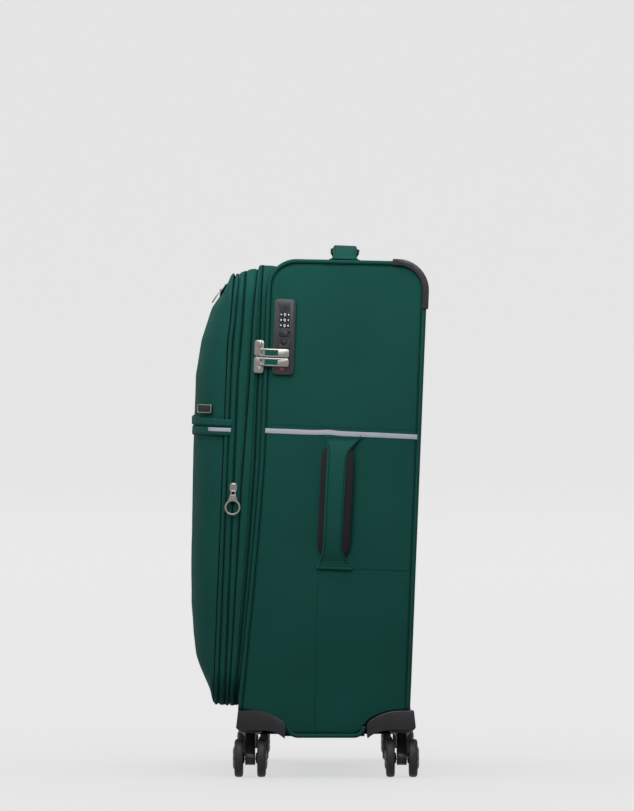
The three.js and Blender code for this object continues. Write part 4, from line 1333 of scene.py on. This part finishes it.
# ---------------------------------------------------------------- lock and zip pulls
def digit_mesh(text, size):
    """A numeral as points (across, up) and faces, centred."""
    curve = bpy.data.curves.new("numeral", "FONT")
    curve.body = text
    curve.size = size
    curve.align_x = "CENTER"
    curve.align_y = "CENTER"
    holder = bpy.data.objects.new("numeral", curve)
    bpy.context.scene.collection.objects.link(holder)
    bpy.context.view_layer.update()
    seen = holder.evaluated_get(bpy.context.evaluated_depsgraph_get())
    mesh = bpy.data.meshes.new_from_object(seen)
    points = np.array([v.co for v in mesh.vertices], float)
    faces = [tuple(p.vertices) for p in mesh.polygons]
    bpy.data.objects.remove(holder)
    middle = (points.min(0) + points.max(0)) / 2
    return points[:, :2] - middle[:2], faces


def build_lock():
    refined("lock_plate", LOCK_GREY, "case", 0.5, dissolve=False)
    refined("lock_button", BUTTON, "lock_button", 0.5)
    refined("key_cylinder", DIAL_BLACK, "key_cylinder", 0.3)
    for i, z in enumerate(DIAL_Z):
        name = f"lock_dial_{i + 1}"
        refined(name, DIAL_BLACK, name, 0.35)
        numerals = []
        for k in range(10):
            shape, faces = digit_mesh(str(k), 6.6)
            angle = k * math.pi / 5 + shape[:, 0] / DIAL_R
            r = DIAL_R + 0.12
            x = DIAL_X + r * np.cos(angle)
            y = LOCK_Y + r * np.sin(angle)
            numerals.append((line(x, y, z + shape[:, 1]), faces))
        piece(name + "_numerals", numerals, PRINT, name, flat=True)
    marks, bezels = [], []
    for z in DIAL_Z:
        for side in (-1, 1):
            tip = LOCK_Y + side * 3.9
            tail = LOCK_Y + side * 6.1
            face = 243.42
            points = [(face, tip, z), (face, tail, z + 1.5), (face, tail, z - 1.5)]
            marks.append((np.array(points), [(0, 1, 2)]))
            wing = np.linspace(3.9, 7.6, 5)[:, None] * [0, side, 0] + [242.42, LOCK_Y, z]
            bezels.append(sweep(wing, (1, 0, 0), tape_ring(6.6, 0.85, 0.3, 3)))
    piece("lock_bezels", bezels, DIAL_BLACK, "case")
    piece("lock_marks", marks, PRINT, "case", flat=True, thick=0.15)
    turn = np.arange(24) * math.pi / 12
    dot = []
    for r, x in ((0.01, 243.3), (2.2, 243.2), (2.9, 242.9), (3.1, 242.4)):
        y = LOCK_Y - 1 + r * np.cos(turn)
        dot.append(line(x, y, 612 + r * np.sin(turn)))
    piece("lock_dot", [cloth(np.stack(dot, 1), closed=True)], RED_DOT, "case")
    path = line(242.55, LOCK_Y + 0.9 + 2.2 * np.cos(turn), 703.3 + 2.2 * np.sin(turn))
    ring = sweep(path, (1, 0, 0), circle(0.45, 6), closed=True)
    piece("lock_reset_ring", [ring], DIAL_BLACK, "case")
    slit = np.linspace([244.25, LOCK_Y - 2.2, 651], [244.25, LOCK_Y + 2.2, 651], 5)
    slot_mark = sweep(slit, (1, 0, 0), tape_ring(1.0, 0.3, 0.1, 2))
    piece("key_slit", [slot_mark], DIAL_BLACK, "key_cylinder")


def build_pulls():
    for label in ("upper", "lower"):
        refined("main_slider_" + label, NICKEL, "main_slider_" + label, 0.9)
        puller = "main_puller_" + label
        refined(puller, NICKEL, puller, 0.5)
        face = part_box(puller)[1].x * 1000
        y, z = lean_from_world(*middle_of(puller)[1:])
        inset = np.linspace([face + 0.05, y - 13.5, z], [face + 0.05, y + 5.5, z], 12)
        cloth_inset = sweep(inset, (1, 0, 0), tape_ring(8.6, 0.5, 0.2, 3))
        piece(puller + "_inset", [cloth_inset], STRAP, puller)
        points, _ = ring_outline({"half": 9.9, "low": -4.7, "high": 4.7, "corner": 0.8}, 0, 6, 3)
        path = line(face, y - 4 + points[:, 0], z + points[:, 1])
        rim = sweep(path, (1, 0, 0), circle(0.5, 8), closed=True)
        piece(puller + "_rim", [rim], NICKEL, puller)
    refined("expansion_slider", NICKEL, "expansion_slider", 0.7)
    refined("ring_puller", NICKEL, "ring_puller", 0.6)
    for which in ("top", "lower"):
        for kind in ("slider", "puller"):
            name = f"{which}_pocket_{kind}"
            refined(name, NICKEL, name, 0.5)


# ---------------------------------------------------------------- trolley handle and guards
def build_trolley():
    for side in ("left", "right"):
        refined("corner_guard_" + side, GUARD, "case", 0.8)
        for stage, body in (("outer", "case"), ("mid", "trolley_mid"), ("inner", "trolley_top")):
            refined(f"{stage}_tube_{side}", ALUMINIUM, body, 0.8)
    refined("handle_cup", TRIM, "case", 0.8)
    refined("tube_foot", TRIM, "case", 1.0)
    refined("trolley_grip", TRIM, "trolley_top", 1.2)
    refined("trolley_button", BUTTON, "trolley_button", 0.8)
    refined("inner_back_panel", LINING, "case", 0.4)
    ridges = []
    for k in range(5):
        y = 116 + 4.0 * k
        path = np.linspace([-60, y, 764.2], [-30, y, 764.2], 6)
        ridges.append(sweep(path, (0, 0, 1), circle(0.7, 6)))
        ridges.append(sweep(path * [-1, 1, 1], (0, 0, 1), circle(0.7, 6)))
    piece("grip_ridges", ridges, TRIM, "trolley_top")


def build_back_details():
    """Rows of sewing and two skid strips on the back."""
    out = (0, 1, 0)
    rows, welts, skids = [], [], []
    for x in (-170, -164, 164, 170):
        path = line(x, BACK_Y - 0.9, np.linspace(118, 742, 30))
        rows.append(stitches(path, out, 3.4, 2.4, 0.7, 0.5))
    for x in (-167, 167):
        path = line(x, BACK_Y - 1.1, np.linspace(116, 744, 120))
        welts.append(sweep(path, out, circle(1.0, 8)))
    taper = np.clip(np.minimum(np.arange(50), 49 - np.arange(50)) / 6, 0.15, 1) ** 0.5
    for x in (-118, 118):
        path = line(x, BACK_Y - 0.9, np.linspace(112, 300, 50))
        skids.append(sweep(path, out, tape_ring(13, 3.2, 1.4, 4), scale=taper))
    piece("back_stitching", rows, THREAD, "case")
    piece("back_seam_welts", welts, PIPING, "case")
    piece("back_skids", skids, HOUSING, "case")


def build_straps():
    """Crossed packing straps over the case's back lining, joined by a buckle."""
    straps = []
    for a, b in (((-190, 170), (190, 640)), ((190, 170), (-190, 640))):
        s = np.linspace(0, 1, 80)
        x = a[0] + (b[0] - a[0]) * s
        z = a[1] + (b[1] - a[1]) * s
        y = 108.2 - 3.2 * np.exp(-(((s - 0.5) / 0.3) ** 2)) - (1.4 if a[0] > 0 else 0)
        straps.append(sweep(line(x, y, z), (0, -1, 0), tape_ring(25, 1.2, 0.5, 3)))
    piece("packing_straps", straps, WEBBING, "case")
    points, _ = ring_outline({"half": 24, "low": -19, "high": 19, "corner": 8}, 0, 10, 6)
    path = line(points[:, 0], 101.2, 405 + points[:, 1])
    rim = sweep(path, (0, -1, 0), tape_ring(9, 4.2, 1.6, 4), closed=True)
    bar = np.linspace([0, 101.2, 388], [0, 101.2, 422], 9)
    bars = [sweep(bar, (0, -1, 0), tape_ring(16, 3.4, 1.4, 4))]
    piece("strap_buckle", [rim] + bars, TRIM, "case")


# ---------------------------------------------------------------- stage
def build_stage():
    """A wide pale floor that turns up into a round wall, behind any camera."""
    floor_paint = new_material("stage_paint", (0.62, 0.62, 0.62), 0.9)
    mottle(floor_paint, (0.62, 0.62, 0.62), 0.004, 3.0)
    shader = floor_paint.node_tree.nodes["Principled BSDF"]
    shader.inputs["Emission Color"].default_value = (1, 1, 1, 1)
    shader.inputs["Emission Strength"].default_value = 0.595
    shader.inputs["Specular IOR Level"].default_value = 0.1
    bend, wall = 6.0, 40.0
    rise = np.linspace(0, math.pi / 2, 14)
    reach = np.concatenate([[1e-4, 2.0, 5.0, 12.0], STAGE_R + bend * np.sin(rise)])
    height = np.concatenate([[0, 0, 0, 0], bend * (1 - np.cos(rise))])
    reach = np.append(reach, reach[-1])
    height = np.append(height, wall)
    turn = np.linspace(0, 2 * math.pi, 65)
    x = reach[:, None] * np.cos(turn)
    y = reach[:, None] * np.sin(turn)
    grid = line(x, y, height[:, None]) * 1000
    floor = piece("stage_floor", [cloth(grid)], floor_paint, None, plumb=True)
    floor.visible_diffuse = False
    return floor


def area_light(name, energy, size, place, aim):
    light = bpy.data.lights.new(name, "AREA")
    light.energy = energy
    light.shape = "RECTANGLE"
    light.size, light.size_y = size
    obj = bpy.data.objects.new(name, light)
    bpy.context.scene.collection.objects.link(obj)
    obj.location = place
    obj.rotation_euler = (Vector(aim) - Vector(place)).to_track_quat("-Z", "Y").to_euler()
    return obj


def build_light(floor):
    world = bpy.data.worlds.new("studio")
    bpy.context.scene.world = world
    world.use_nodes = True
    background = world.node_tree.nodes["Background"]
    background.inputs["Color"].default_value = (1, 1, 1, 1)
    background.inputs["Strength"].default_value = 0.3
    key = area_light("key", 23.5, (0.8, 1.5), (0.85, -0.15, 1.55), (0.15, 0, 0.8))
    side = area_light("side", 8, (1.2, 1.6), (2.2, -2.2, 1.7), (0, 0, 0.6))
    unlit = bpy.data.collections.new("lit_by_the_room_only")
    unlit.objects.link(floor)
    unlit.collection_objects[0].light_linking.link_state = "EXCLUDE"
    for light in (key, side):
        light.light_linking.receiver_collection = unlit
    bpy.context.scene.view_settings.view_transform = "Standard"


def build_camera():
    data = bpy.data.cameras.new("camera")
    data.sensor_width = 36
    data.lens = 236.7
    data.shift_y = 0.0462
    data.clip_end = 60
    obj = bpy.data.objects.new("camera", data)
    bpy.context.scene.collection.objects.link(obj)
    obj.location = (8.24, 0.011, 0.5025)
    obj.rotation_euler = (math.pi / 2, 0, math.pi / 2)
    bpy.context.scene.camera = obj


build_camera()
build_light(build_stage())
for build in (
    build_case,
    build_side_sewing,
    build_stripes,
    build_lid,
    build_gusset,
    build_hinge,
    build_pockets,
    build_front,
    build_front_lining,
    build_pocket_zips,
    build_badge,
    build_side_handle,
    build_top_handle,
    build_casters,
    build_lock,
    build_pulls,
    build_trolley,
    build_back_details,
    build_straps,
):
    build()


def corners(box):
    return [list(corner) for corner in box]
